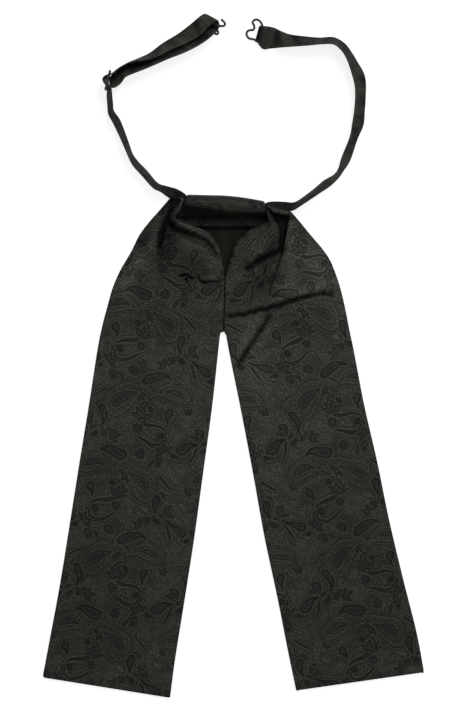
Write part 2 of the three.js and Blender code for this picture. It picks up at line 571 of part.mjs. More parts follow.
function hookGeometry() {
  return geometryOf(solidOf(wireGeometry(HOOK_FRAME, 30))
    .add(solidOf(wireGeometry(HOOK_TONGUE, 14)))
    .add(solidOf(wireGeometry(hookRows(), 22))));
}

const tie = new THREE.Group();

function addPiece(name, geometry, material) {
  const mesh = new THREE.Mesh(geometry, material);
  mesh.name = name;
  tie.add(mesh);
  return mesh;
}

addPiece('left_tail', tailGeometry(LEFT_TAIL, LEFT_FOLDS), materials.jacquard);
addPiece('right_tail', tailGeometry(RIGHT_TAIL, RIGHT_FOLDS), materials.jacquard);
addPiece('neck_roll', rollGeometry(), materials.jacquard);
addPiece('centre_panel', panelGeometry(), materials.lining);
addPiece('right_band', bandGeometry(RIGHT_BAND), materials.band);
addPiece('left_band', bandGeometry(LEFT_BAND), materials.band);
const slider = addPiece('slider', sliderGeometry(), materials.blackWire);
slider.position.copy(SLIDE_CENTRE);
slider.rotation.z = SLIDE_TURN;
addPiece('hook', hookGeometry(), materials.blackWire);
addPiece('eye', wireGeometry(EYE_WIRE, 54), materials.blackWire);

export default tie;
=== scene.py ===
import bpy
import numpy as np
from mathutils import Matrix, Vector


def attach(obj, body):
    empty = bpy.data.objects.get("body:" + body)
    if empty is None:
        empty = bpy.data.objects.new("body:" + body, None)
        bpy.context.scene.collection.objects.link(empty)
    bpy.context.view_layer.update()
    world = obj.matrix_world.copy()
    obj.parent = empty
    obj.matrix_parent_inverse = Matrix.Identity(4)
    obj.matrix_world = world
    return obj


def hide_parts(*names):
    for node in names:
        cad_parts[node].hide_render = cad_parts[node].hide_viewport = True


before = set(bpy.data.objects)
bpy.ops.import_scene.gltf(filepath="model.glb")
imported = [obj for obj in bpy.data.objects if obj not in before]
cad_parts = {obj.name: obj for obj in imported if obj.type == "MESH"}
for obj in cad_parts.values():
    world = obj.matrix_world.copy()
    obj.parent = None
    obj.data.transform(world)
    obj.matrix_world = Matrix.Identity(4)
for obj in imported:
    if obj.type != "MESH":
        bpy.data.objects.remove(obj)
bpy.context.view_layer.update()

# Tails: two wide blades of satin jacquard, lined, and pleated into a puffed head under the
# roll. Each is one closed cloth wall on a fine grid. Tables are in millimetres, with +Y towards
# the neck opening. The paisley is worked out from motif outlines and kept as attributes.
MM = 0.001
TAIL_WIDTH = 96
TAIL_WALL = 2.0
# The wall is rounded this near to its edges, down to this share of its thickness, and these
# are the places of its grid lines there, as shares of that distance.
TAIL_RIM = 1.2
RIM_LEAST = 0.12
RIM_LINES = np.array([0, 0.15, 0.5])
# spacing of the face's grid, and how many of its steps make one of the back's
TAIL_SPACING = 0.7
BACK_STEP = 4
# number of even places in a tail's table that its length is measured on
LENGTH_PLACES = 600

# out_x, out_y, out_lift, in_x, in_y, in_lift, swell
LEFT_TAIL = [
    (-41.8, 5.2, 7, -31.2, 4, 12, 0),
    (-49.5, -3.8, 4.5, -34.9, -5.3, 13, 0),
    (-57.8, -13.1, 2, -37, -11, 12.5, 1),
    (-64.9, -22.5, 0.5, -24.5, -15.8, 11.5, 3),
    (-71.3, -35.3, 0, -12.4, -21, 9.5, 6),
    (-78.8, -48, 0, -4.6, -32.6, 7, 7.5),
    (-84.8, -61.5, 0, -1.8, -45.6, 5, 6),
    (-88.9, -75.8, 0, -1.2, -62.3, 3.5, 4),
    (-93, -91.5, 0, -2, -82.5, 2, 2),
    (-96.5, -109.1, 0, -4.4, -97.1, 0.5, 0.8),
    (-102.6, -148.5, 0, -10.2, -150, 0, 0),
    (-109.9, -193.1, 0, -17.2, -201.8, 0, 0),
    (-117.1, -238.5, 0, -24.1, -252, 0, 0),
    (-124.5, -284.3, 0, -31.5, -299.3, 0, 0),
    (-132.3, -326.3, 0, -38.3, -341.8, 0, 0),
    (-137.6, -354.3, 0, -41.9, -369.6, 0, 0),
]
RIGHT_TAIL = [
    (48.6, -5.1, 7, 30.2, -0.9, 12.5, 0),
    (56.6, -14.3, 4, 30.6, -7.5, 12, 0),
    (64.1, -23.3, 1.5, 30.2, -12.5, 11.5, 1),
    (71.8, -32.3, 0.5, 21.4, -16.6, 10.5, 3),
    (78, -41.3, 0, 12.8, -22, 8.5, 5),
    (82.9, -53.3, 0, 6.3, -30.3, 7, 6),
    (86.6, -65.3, 0, 2.7, -40, 5.5, 5.5),
    (90, -80.3, 0, 0.5, -52, 4, 4.5),
    (92.9, -95.3, 0, -0.4, -71.3, 3, 3),
    (96, -109.9, 0, -0.3, -94.9, 1, 1.2),
    (103.7, -150, 0, 11.6, -156, 0, 0),
    (113.5, -192.8, 0, 20.6, -203.3, 0, 0),
    (122.4, -236.3, 0, 28.7, -248.3, 0, 0),
    (133.1, -281.3, 0, 38.6, -294.8, 0, 0),
    (142.9, -320.3, 0, 46.3, -333.8, 0, 0),
    (148.6, -350.4, 0, 52.6, -364.1, 0, 0),
]
# kind, amount at the line's start and end, reach to the left and right of the line, how dark
# the shade painted in the crease is, line. A ridge's and a lap's amounts are in mm, and a
# pleat's are shares of the height. A hollow's are the share of the height it takes and how far
# its slope goes in.
LEFT_FOLDS = [
    ("ridge", 3, 3, 13, 13, 0, [(-34, -34), (-20, -43)]),
    ("ridge", 3, 2, 4, 4, 0, [(-46, 1), (-55.5, -13), (-58, -32)]),
    ("ridge", 1.6, 2.4, 2.4, 2.4, 0,
     [(-33.2, 2), (-36.5, -7), (-38.4, -12), (-35, -14.6), (-25, -18.2), (-14, -23.4), (-8.4, -29),
      (-5.6, -36)]),
    ("pleat", 0.6, 0.3, 2.8, 3.4, 0.6,
     [(-43.2, 1), (-44, -5), (-45.6, -10.5), (-47, -17), (-49.2, -25), (-50.6, -32)]),
    ("hollow", 0.6, 1.1, 0, 0, 0.9,
     [(-41.6, 5.6), (-42.4, 0), (-43.3, -4), (-45.7, -9.8), (-47.6, -15.5), (-50.4, -21), (-51.4, -28),
      (-50.9, -33), (-49.2, -33), (-47.6, -28), (-45.6, -20), (-43.6, -14), (-41.8, -9), (-40.3, -6),
      (-37.3, -2.1), (-33.2, 2.6), (-31.6, 5.6)]),
    ("pleat", 0.2, 0.2, 4.5, 4.5, 0.6, [(-42, -14.5), (-43, -23)]),
    ("pleat", 0.05, 0.05, 5, 5, 0.15, [(-50, -2), (-60, -20), (-68, -36)]),
    ("pleat", 0.65, 0.25, 1.4, 3.2, 0.5,
     [(-41, -14.5), (-38, -18), (-30, -20.9), (-23.8, -23.4), (-15, -28), (-11, -32.5)]),
    ("ridge", 1.2, 0.8, 1.8, 1.8, 0, [(-5.6, -36), (-4, -46), (-3, -56)]),
    ("pleat", 0.3, 0.3, 0.9, 0.8, 0.85,
     [(-35, -53.8), (-32, -52.8), (-29, -53), (-26.6, -55.2), (-24.8, -55)]),
    ("pleat", 0.3, 0.3, 0.8, 0.8, 0.8, [(-29.8, -55.6), (-29.6, -58.2)]),
    ("pleat", 0.3, 0.3, 1.0, 0.9, 0.75, [(-21, -54.2), (-19.6, -57), (-16.2, -59.6)]),
    ("pleat", 0.3, 0.25, 1.3, 1.0, 0.8, [(-16.6, -58), (-14.2, -58.8), (-11, -58), (-5, -58.4)]),
    ("ridge", 0.8, 0.6, 1.7, 1.7, 0, [(-30, -52.4), (-24, -54.8), (-14, -56.4), (-7, -55.4)]),
    ("pleat", 0.4, 0.2, 1.1, 1.1, 0.9, [(-65.8, -26.4), (-61, -31.2)]),
]
RIGHT_FOLDS = [
    ("ridge", 3.5, 3, 10, 10, 0, [(28, -20), (15, -37)]),
    ("ridge", 3, 2, 3.2, 3.2, 0, [(34.5, -12), (36.2, -26), (29, -34), (18, -42)]),
    ("ridge", 3.5, 2, 6, 6, 0, [(53, -10), (51, -26.3), (48, -42), (41, -63)]),
    ("hollow", 0.9, 1.8, 0, 0, 0.95,
     [(33.2, -6), (47.6, -8), (46.6, -13.2), (45.5, -19.5), (44, -29.1), (41.6, -38.4), (38.8, -33),
      (40, -23.5), (38.8, -16), (36.2, -11.2)]),
    ("pleat", 0.3, 0.3, 1, 1, 0.85, [(31.2, -3.2), (33.8, -7), (37, -12.2)]),
    ("pleat", 0.5, 0.35, 2.6, 2, 1,
     [(40.6, -34.2), (33.6, -38), (26.9, -40.8), (21.1, -45), (16.3, -48)]),
    ("pleat", 0.25, 0.2, 8, 8, 0.35, [(34, -46), (27, -60)]),
    ("lap", 2.2, 1.4, 4, 0.7, 0.85, [(43, -34), (41.2, -40), (37.4, -52), (34.6, -60), (32.2, -68)]),
    ("ridge", 0.9, 0.7, 3, 3, 0, [(3, -80.6), (22, -77), (42, -71.6), (62, -65.4)]),
    ("pleat", 0.45, 0.45, 2, 1.5, 1,
     [(2, -83.8), (5.5, -83.8), (9, -82.6), (13, -83.3), (17, -81.2), (21, -80.9), (25, -79), (30, -79.2),
      (35, -76.8), (40, -76.2), (45.5, -73.4), (51, -72.4), (57, -70.1), (64.2, -68.2), (72, -66.6),
      (79.5, -68)]),
    ("pleat", 0.5, 0.45, 3, 2.2, 1, [(31.6, -84.6), (21.1, -100.8), (9.6, -118)]),
]
# Painted highlights and painted shade, where the satin's slopes catch the light or lose it: x,
# y, reach along and across, degrees from the X axis, and how much lighter the colour is painted.
LEFT_PAINTED_SHEEN = [
    (-42, -30, 15, 9, 78, -0.5), (-16, -52, 7, 4, 0, -0.35), (-18, -82, 8, 6, 0, -0.25),
    (-62, -21, 7, 4, 60, 0.15), (-28, -47, 14, 7, 35, -0.22), (-38, -4.5, 8, 3.5, 70, -0.3),
    (-67, -48, 20, 6, 62, 0.5), (-53, -38, 11, 6, 70, -0.15), (-27, -31, 8, 4.5, -35, -0.35),
    (-49.8, -39, 3, 7, 0, -0.15), (-44, -37, 7, 6, 0, -0.12), (-38, -11, 4, 6, 10, 0.4),
    (-20, -23.5, 7, 3, -30, 0.6), (-95, -300, 110, 70, 80, -0.18),
]
RIGHT_PAINTED_SHEEN = [
    (25, -14, 11, 5.5, 0, -0.7), (32, -9.5, 5.5, 2.4, 80, -0.4), (13, -23, 5, 4, -40, -0.5),
    (51, -38, 10, 5.5, 95, 0.45), (64, -33, 10, 7, -60, 0.2), (74, -54, 24, 9, -65, 0.3),
    (45, -62, 8, 5.5, 40, 0.5), (58, -65, 22, 4, 16, 0.65), (55, -45, 6, 5, 0, 0.25),
    (25, -37, 7, 4, 0, 0.2), (19, -121, 8, 6, 60, 0.3), (41, -5, 9, 3, -15, 0.35),
    (27, -60, 12, 8, 60, -0.35), (14, -75, 11, 4, 10, -0.3), (28, -87, 8, 6, 0, 0.45),
    (17, -103, 24, 8.5, 56, 0.6), (30, -128, 15, 9, 60, 0.3), (50, -150, 50, 60, 0, 0.08),
    (105, -300, 110, 70, -78, -0.18),
]
# The heads' inner edges turn down, within this reach, to a height over the panel and the
# roll's hem: y of the edge, height. The turn sets in between the two values of y below.
TURN_REACH = 2.6
TURN_DOWN = [(-18.6, 0.8), (-17.6, 3.4), (-16.5, 4.8), (-9, 6), (-6, 8.5), (-2, 13)]
TURN_START = (-56, -51.5)
# Fine puckers where the left head's pleats are drawn together: their place, reach and degrees
# as above, their two wavelengths, how far and how fast each wave is bent by the other's
# direction, their height, and how much painted highlight on the bumps and painted shade between
# them they add to the colour.
PUCKERS = (-41.5, -46, 11, 6, -25)
PUCKER_WAVES = (2.5, 2.1)
PUCKER_BEND = 1.6
PUCKER_BEND_RATE = (0.8, 0.7)
PUCKER_HEIGHT = 0.25
PUCKER_PAINTED_SHEEN = 0.75
# The tails' inner edges meet along a line between these y and x, and part below it. Above it
# they come together over SEAM_JOIN, and they part within SEAM_PART of its end. The seam draws
# the cloth by the share of its width to the power SEAM_PULL, so only what is near. The right
# tail laps over the left one by SEAM_OVERLAP.
SEAM_Y = (-55, -95.4)
SEAM_X = (-0.7, -1.6)
SEAM_JOIN = 10
SEAM_PART = 0.4
SEAM_PULL = 10
SEAM_OVERLAP = 0.3
# height and reach of the rise along the seam, and depth and reach of the shade painted along it
SEAM_RISE = 0.9
SEAM_RISE_REACH = 1.5
SEAM_SHADE = 0.9
SEAM_SHADE_REACH = 0.7
# radius of a tail's lower corners, at its outer and its inner edge
CORNER_RADII = (2.2, 1.2)
# Height of the cloth at which ridges and laps are full, how far a hollow's slope goes out, as a
# share of how far it goes in, the least share of a pleat's painted shade along its line, the
# share of a lap's line over which it ends, and half the width of its step.
FULL_LIFT = 3
HOLLOW_OUT = 1 / 3
PLEAT_SHADE_LEAST = 0.35
LAP_FADE = 0.05
LAP_STEP = 0.5


def between(rows, place):
    """Every column of a table at the given places between its rows, on a uniform Catmull-Rom
    curve through them. The ends are carried on straight."""
    rows = np.asarray(rows, float)
    place = np.asarray(place, float)
    ended = np.vstack([2 * rows[0] - rows[1], rows, 2 * rows[-1] - rows[-2]])
    first = np.clip(np.floor(place).astype(int), 0, len(rows) - 2)
    f = (place - first)[..., None]
    a, b, c, d = (ended[first + k] for k in range(4))
    return b + 0.5 * f * (c - a + f * (2 * a - 5 * b + 4 * c - d + f * (3 * (b - c) + d - a)))


def smooth(value, low, high):
    """0 on low's side, 1 on high's, and between them the rise 3 s^2 - 2 s^3 of the share s of
    the way."""
    share = np.clip((value - low) / (high - low), 0, 1)
    return share * share * (3 - 2 * share)


def to_line(points, line, closed=False):
    """For each point, the distance to the nearest segment of a bent line, the share of the
    line's length at the nearest place, and the side: positive to the left of its way."""
    line = np.asarray(line, float)
    ends = np.roll(line, -1, 0) if closed else line[1:]
    starts = line if closed else line[:-1]
    ways = ends - starts
    lengths = np.hypot(ways[:, 0], ways[:, 1])
    before = np.concatenate([[0], np.cumsum(lengths)])
    nearest = np.full(len(points), np.inf)
    along = np.zeros(len(points))
    side = np.ones(len(points))
    for i in range(len(starts)):
        off = points - starts[i]
        share = np.clip(off @ ways[i] / lengths[i] ** 2, 0, 1)
        gap = off - share[:, None] * ways[i]
        distance = np.hypot(gap[:, 0], gap[:, 1])
        near = distance < nearest
        nearest[near] = distance[near]
        along[near] = (before[i] + share[near] * lengths[i]) / before[-1]
        side[near] = np.sign(ways[i, 0] * off[near, 1] - ways[i, 1] * off[near, 0])
    return nearest, along, side


def inside(points, outline):
    """Whether each point is inside a closed outline, by the even-odd rule."""
    found = np.zeros(len(points), bool)
    for (ax, ay), (bx, by) in zip(outline, np.roll(outline, -1, 0)):
        crosses = (ay > points[:, 1]) != (by > points[:, 1])
        where = (bx - ax) * (points[:, 1] - ay) / ((by - ay) or 1) + ax
        found ^= crosses & (points[:, 0] < where)
    return found


def folded(folds, x, y, lift):
    """The height of the cloth with its folds, in the table's order, and how dark the shade painted
    in its creases is. A ridge adds a bell, exp(-(distance / reach)^2), across its line. A pleat
    takes such a share of the height away, and paints shade along its line. A lap raises the cloth
    on the left of its line by exp(-distance / reach), ends it sharply there, and paints shade
    below the step. A hollow sinks what is inside its outline, and paints shade there."""
    points = np.stack([x.ravel(), y.ravel()], 1)
    height = lift.ravel().copy()
    bright = np.ones(len(points))
    grown = np.minimum(1, height / FULL_LIFT)
    for kind, start, end, left, right, dark, line in folds:
        distance, along, side = to_line(points, line, kind == "hollow")
        if kind == "hollow":
            deep = np.where(inside(points, np.asarray(line)), distance, -distance)
            sunk = smooth(deep, -HOLLOW_OUT * end, end)
            height *= 1 - start * sunk
            bright *= 1 - dark * sunk
            continue
        amount = start + (end - start) * along
        bell = np.exp(-(distance / np.where(side > 0, left, right)) ** 2)
        if kind == "ridge":
            height += amount * bell * grown
        elif kind == "pleat":
            height *= 1 - amount * bell
            bright *= 1 - dark * bell * (PLEAT_SHADE_LEAST + (1 - PLEAT_SHADE_LEAST) * amount / start)
        else:
            ended = smooth(along, 0, LAP_FADE) * (1 - smooth(along, 1 - LAP_FADE, 1))
            over = smooth(side * distance, -LAP_STEP, LAP_STEP)
            height += amount * np.exp(-distance / left) * over * ended * grown
            shade = np.exp(-((distance - LAP_STEP) / right) ** 2)
            bright *= 1 - dark * shade * (side < 0) * ended
    return height.reshape(x.shape), 1 - bright.reshape(x.shape)


def painted_sheen(patches, x, y):
    """How much lighter the cloth's colour is painted at each place, as painted highlight, or darker,
    as painted shade: the sum of the patches' bells, each turned and stretched as its row says."""
    total = np.zeros_like(x)
    for at_x, at_y, along, across, turn, amount in patches:
        c, s = np.cos(np.radians(turn)), np.sin(np.radians(turn))
        u, v = (x - at_x) * c + (y - at_y) * s, (y - at_y) * c - (x - at_x) * s
        total += amount * np.exp(-(u / along) ** 2 - (v / across) ** 2)
    return total


def puckers(x, y):
    """Small bumps and dents, from -1 to 1: the product of a sine along x and one along y, each
    shifted by a slow sine of the other direction, under the bell of the patch."""
    shift_x, shift_y = (PUCKER_BEND * np.sin(rate * v) for rate, v in zip(PUCKER_BEND_RATE, (y, x)))
    across = np.sin(2 * np.pi * x / PUCKER_WAVES[0] + shift_x)
    down = np.sin(2 * np.pi * y / PUCKER_WAVES[1] + shift_y)
    return across * down * painted_sheen([(*PUCKERS, 1)], x, y)


def spread(length, spacing, rim):
    """Places from 0 to 1 along a length: even inside, and close together in the rims. The
    number of steps is a multiple of the back's step."""
    steps = BACK_STEP * int(round((length - 2 * rim) / spacing / BACK_STEP))
    inner = np.linspace(rim, length - rim, steps + 1 - 2 * len(RIM_LINES))
    edge = rim * RIM_LINES
    return np.concatenate([edge, inner, length - edge[::-1]]) / length


def grid_faces(rows, columns, start, flip):
    """Quads of a grid of vertices with that many rows and columns, numbered row by row."""
    corner = start + np.arange(rows - 1)[:, None] * columns + np.arange(columns - 1)[None, :]
    quads = np.stack([corner, corner + 1, corner + columns + 1, corner + columns], -1).reshape(-1, 4)
    return quads[:, ::-1] if flip else quads


def rim_faces(fine, coarse, flip):
    """Triangles between a row of vertices and one with fewer, which go the same way: a fan
    over each coarse step's fine ones, and one that closes it."""
    step = (len(fine) - 1) // (len(coarse) - 1)
    which = np.repeat(np.arange(len(coarse) - 1), step)
    fans = np.stack([coarse[which], fine[:-1], fine[1:]], 1)
    closing = np.stack([coarse[:-1], fine[step::step], coarse[1:]], 1)
    faces = np.vstack([fans, closing])
    return faces[:, ::-1] if flip else faces


def wall_mesh(name, face, back, step=1, cloth=None, fields=None):
    """A closed wall from two grids of points in millimetres: the face, and a back that keeps
    every step-th row and column. cloth is the place in the cloth of each point of the face,
    for the UV map, and fields are named values on the face, which the back repeats. The faces
    are turned over where the wall's volume, the sum of a . (b x c), comes out negative."""
    back = back[::step, ::step]
    rows, columns = face.shape[:2]
    points = np.vstack([face.reshape(-1, 3), back.reshape(-1, 3)]) * MM
    there = rows * columns
    front_index = np.arange(there).reshape(rows, columns)
    back_index = there + np.arange(back.shape[0] * back.shape[1]).reshape(back.shape[:2])
    quads = np.vstack([grid_faces(rows, columns, 0, False),
                       grid_faces(back.shape[0], back.shape[1], there, True)])
    rims = np.vstack([
        rim_faces(front_index[0], back_index[0], True),
        rim_faces(front_index[-1], back_index[-1], False),
        rim_faces(front_index[:, 0], back_index[:, 0], False),
        rim_faces(front_index[:, -1], back_index[:, -1], True),
    ])
    corners = np.vstack([quads[:, :3], quads[:, [0, 2, 3]], rims])
    a, b, c = (points[corners[:, k]] for k in range(3))
    if np.sum(a * np.cross(b, c)) < 0:
        quads, rims = quads[:, ::-1], rims[:, ::-1]
    return mesh_object(name, points, quads, rims, step, cloth, fields)


def mesh_object(name, points, quads, triangles, step=1, cloth=None, fields=None):
    """An object from numpy points, quads and triangles, smooth shaded, with the places in the
    cloth as its UV map and the fields as attributes of its points."""
    mesh = bpy.data.meshes.new(name)
    mesh.vertices.add(len(points))
    mesh.vertices.foreach_set("co", points.astype(np.float32).ravel())
    corners = np.concatenate([quads.ravel(), triangles.ravel()])
    sizes = np.concatenate([np.full(len(quads), 4), np.full(len(triangles), 3)])
    mesh.loops.add(len(corners))
    mesh.loops.foreach_set("vertex_index", corners.astype(np.int32))
    mesh.polygons.add(len(sizes))
    mesh.polygons.foreach_set("loop_start", (np.cumsum(sizes) - sizes).astype(np.int32))
    mesh.polygons.foreach_set("loop_total", sizes.astype(np.int32))
    if cloth is not None:
        flat = np.vstack([cloth.reshape(-1, 2), cloth[::step, ::step].reshape(-1, 2)]) * MM
        layer = mesh.uv_layers.new(name="cloth")
        layer.data.foreach_set("uv", flat[corners].astype(np.float32).ravel())
    for key, values in (fields or {}).items():
        both = np.concatenate([values.ravel(), values[::step, ::step].ravel()])
        mesh.attributes.new(key, "FLOAT", "POINT").data.foreach_set("value", both.astype(np.float32))
    mesh.update()
    mesh.validate()
    mesh.shade_smooth()
    piece = bpy.data.objects.new(name, mesh)
    bpy.context.scene.collection.objects.link(piece)
    return piece


def rim_fullness(rows, columns, size):
    """How full the cloth's thickness is at each grid point: a quarter circle from the edge to
    the inside of the rim, as on a folded edge. rows and columns are places from 0 to 1, and
    size is the cloth's length and width."""
    down = np.minimum(rows, 1 - rows)[:, None] * size[0]
    over = np.minimum(columns, 1 - columns)[None, :] * size[1]
    edge = np.clip(np.minimum(down, over) / TAIL_RIM, 0, 1)
    return np.maximum(RIM_LEAST, np.sqrt(1 - (1 - edge) ** 2))


# The paisley's repeat. A mirrored copy stands half a repeat lower, as in a half-drop.
REPEAT = np.array([84.0, 121.0])


def spine(length, start, turn, curl, bend, count):
    """Points along a curve of that length whose heading is start + turn s + curl s^bend at the
    share s of its length, and the headings."""
    s = np.linspace(0, 1, count)
    heading = start + turn * s + curl * s ** bend
    steps = np.stack([np.cos(heading[:-1]), np.sin(heading[:-1])], 1) * length / (count - 1)
    return np.vstack([[0, 0], np.cumsum(steps, 0)]), heading


def boteh(length, width, curl, bend=1.7, full=1.0, count=24):
    """The outline of a drop with a round end and a tip that curls over. Its half width is
    proportional to s^0.5 (1 - s)^full along its curved middle line, and its own zero is a
    quarter of the way along that."""
    points, heading = spine(length, 0, 0, curl, bend, count)
    s = np.linspace(0, 1, count)
    half = np.sqrt(s) * (1 - s) ** full
    half *= width / 2 / half.max()
    off = np.stack([-np.sin(heading), np.cos(heading)], 1) * half[:, None]
    return np.vstack([points + off, (points - off)[-2:0:-1]]) - points[count // 4]


def placed(shape, at, turn, size=1.0):
    """A shape scaled, turned about its start and moved to a place in the repeat."""
    c, s = np.cos(turn), np.sin(turn)
    return size * shape @ np.array([[c, s], [-s, c]]) + at


# A crozier's stem bends back by this share of its curl before its end curls in, with this
# power of the share of its length.
CROZIER_BACK = 0.25
CROZIER_POWER = 2.4
CROZIER_POINTS = 26
# The angle between a plume's outer strands, by how much the next strand is shorter, and how far
# they run together again.
STRAND_ANGLE = 0.7
STRAND_SHORTER = 0.12
STRAND_CLOSING = 0.8
STRAND_POINTS = 10
# The angle from one leaf to the next, by how much that is shorter and curls more, and the gap
# between a leaf and the place that they spread from, as a share of its length.
LEAF_ANGLE = 0.62
LEAF_SHORTER = 0.12
LEAF_CURL = 0.5
LEAF_GAP = 0.45
LEAF_POINTS = 12


def crozier(at, start, length, curl):
    """A stem whose end curls in: a spine that first turns a little the other way."""
    stem, _ = spine(length, 0, -CROZIER_BACK * curl, curl, CROZIER_POWER, CROZIER_POINTS)
    return placed(stem, at, start)


def plume(at, start, length, turn, count):
    """Nested strands that leave one place, bow apart and run together again: arcs whose start,
    length and turn change evenly from one to the next."""
    strands = []
    for k in np.linspace(-1, 1, count):
        opened = k * STRAND_ANGLE
        bow = turn - STRAND_CLOSING * opened
        points, _ = spine(length * (1 - STRAND_SHORTER * k), opened / 2, bow, 0, 1, STRAND_POINTS)
        strands.append(placed(points, at, start))
    return strands


def fan(at, start, count, length, width):
    """Leaves that spread from one place, at even angles, and curl away from the middle one."""
    leaves = []
    for k in np.arange(count) - (count - 1) / 2:
        shape = boteh(length, width, LEAF_CURL * k, count=LEAF_POINTS) + [LEAF_GAP * length, 0]
        leaves.append(placed(shape, at, start + LEAF_ANGLE * k, 1 - LEAF_SHORTER * abs(k)))
    return leaves


CROZIERS = [
    crozier((20, 4), 0.55, 40, 5.6), crozier((74, 26), 2.6, 34, -5.8), crozier((46, 62), -0.5, 30, 5.8),
    crozier((4, 50), 1.1, 26, -5.8), crozier((30, 38), 2.9, 24, 5.6), crozier((66, 52), 0.2, 22, -5.8),
]
# kind: how far from its outline the pattern reaches, shapes
MOTIFS = {
    "boteh": (7.0, [placed(boteh(46, 18, 2.4, 2.6), (56, 22), 2.0),
                    placed(boteh(34, 13.5, -2.2, 2.2), (11, 34), 0.5)]),
    "leaf": (2.2, [placed(boteh(24, 6.4, 1.1, 2), (55.5, 24), 2.05),
                   placed(boteh(16, 4.6, -1.2, 2), (12, 34.5), 0.5),
                   *fan((38, 14), 1.4, 4, 9, 3.8), *fan((74, 8), -0.2, 3, 9, 3.8),
                   *fan((70, 50), 2.4, 4, 8, 3.4), *fan((24, 54), 0.6, 3, 8, 3.4),
                   *fan((40, 34), 4.2, 3, 7, 3.0)]),
    "drop": (3.6, [placed(boteh(21, 8.2, 0.9, 1.6, 1.7), (36, 46), 2.9),
                   placed(boteh(18, 7, -0.9, 1.6, 1.7), (80, 56), 0.9),
                   placed(boteh(15, 5.6, 0.8, 1.6, 1.7), (68, 14), 4.4),
                   placed(boteh(13, 5, -0.8, 1.6, 1.7), (16, 18), 5.4)]),
    "crozier": (5.0, CROZIERS),
    "strand": (1.6, [*plume((30, 46), 0.2, 40, 1.0, 6), *plume((64, 4), 2.4, 36, -1.1, 6),
                     *plume((0, 16), -0.2, 34, 0.9, 5), *plume((60, 50), 1.9, 30, 0.9, 5),
                     *plume((48, 30), 0.5, 26, -0.9, 4)]),
}
# half widths of the open lines at their start and end
LINE_WIDTHS = {"crozier": (0.35, 1.6), "strand": (0.3, 0.4)}
# kind: reach, centres, radius, petals
ROUNDS = {
    "rose": (2.6, [(40, 8), (70, 18), (22, 58), (66, 44), (50, 48), (4, 26)], 3.6, 7),
    "knob": (2.0, [line[-1] for line in CROZIERS], 2.0, 0),
}
# how far a rose's petals stand out and are cut in, as a share of its radius
PETAL_DEPTH = 0.14
# Round a boteh: the number and height of its scallops, and the number, depth, radius and
# squeeze of the beads inside it. Along a crozier: the number and height of its fronds.
SCALLOPS = 30
SCALLOP_HEIGHT = 0.8
BEADS = 26
BEAD_DEPTH = 2.9
BEAD_RADIUS = 0.8
BEAD_SQUEEZE = 1.5
FRONDS = 9
FROND_HEIGHT = 1.3
# The waves that bend the drawn repeat: the axis along which they shift it, by how much, how many
# fit in its width and in its height, and their phase.
WARP_WAVES = [(0, 1.6, 0, 3, 0.5), (0, 1.12, 2, 4, 0), (1, 1.6, 2, 0, 1.3), (1, 1.12, 3, -3, np.pi / 2)]


def warped(points):
    """The places in the drawn repeat: the cloth's own, shifted by slow sine waves that fit it,
    so that no line is too regular."""
    x, y = (2 * np.pi * points / REPEAT).T
    moved = points.copy()
    for axis, height, over, down, phase in WARP_WAVES:
        moved[:, axis] += height * np.sin(over * x + down * y + phase)
    return np.mod(moved, REPEAT)


def copies(cell, shape, reach):
    """Every copy of a shape, in the repeat and in its mirrored half-drop, that comes near the
    points: which points are near, and their places relative to that copy's own shape."""
    for own in (shape, shape * [-1, 1] + [0, REPEAT[1] / 2]):
        low, high = own.min(0) - reach, own.max(0) + reach
        for i in range(-2, 3):
            for j in range(-2, 3):
                off = cell - REPEAT * [i, j]
                near = np.flatnonzero(np.all((off > low) & (off < high), 1))
                if len(near):
                    yield near, off[near], own


def paisley(cloth):
    """How far each place in the cloth is inside the nearest motif of each kind, in
    millimetres, with a minus outside, down to the reach of that kind. Scallops, beads and
    fronds repeat along an outline or stem, by the sine of the share of its length."""
    cell = warped(cloth.reshape(-1, 2))
    fields = {}
    for kind, (reach, shapes) in MOTIFS.items():
        value = np.full(len(cell), -reach)
        share = np.zeros(len(cell))
        widths = LINE_WIDTHS.get(kind)
        for shape in shapes:
            for near, off, own in copies(cell, shape, reach):
                distance, along, _ = to_line(off, own, widths is None)
                if widths:
                    deep = widths[0] + (widths[1] - widths[0]) * along - distance
                else:
                    deep = np.where(inside(off, own), distance, -distance)
                better = deep > value[near]
                value[near[better]] = deep[better]
                share[near[better]] = along[better]
        fields[kind] = value
        if kind == "boteh":
            fields["scallop"] = value - SCALLOP_HEIGHT * np.abs(np.sin(np.pi * SCALLOPS * share))
            from_row = (value - BEAD_DEPTH) / BEAD_RADIUS
            fields["bead"] = 1 - np.hypot(from_row, np.sin(np.pi * BEADS * share) * BEAD_SQUEEZE)
        if kind == "crozier":
            fields["frond"] = value + FROND_HEIGHT * np.abs(np.sin(np.pi * FRONDS * share))
    for kind, (reach, centres, radius, petals) in ROUNDS.items():
        value = np.full(len(cell), -reach)
        for centre in centres:
            for near, off, own in copies(cell, np.array([centre]), reach + radius):
                away = off - own[0]
                edge = radius * (1 + PETAL_DEPTH * np.cos(petals * np.arctan2(away[:, 1], away[:, 0])))
                value[near] = np.maximum(value[near], edge - np.hypot(away[:, 0], away[:, 1]))
        fields[kind] = value
    return {name: value.reshape(cloth.shape[:-1]) for name, value in fields.items()}


def rounded_corner(side, end, radius):
    """How far points near a corner move in from their side and end edges to round it: the
    square of that radius is drawn in to a quarter circle about its inner corner."""
    a, b = np.maximum(0, radius - side), np.maximum(0, radius - end)
    size = np.maximum(np.hypot(a, b), 1e-9)
    shrink = 1 - np.maximum(a, b) / size
    return a * shrink, b * shrink


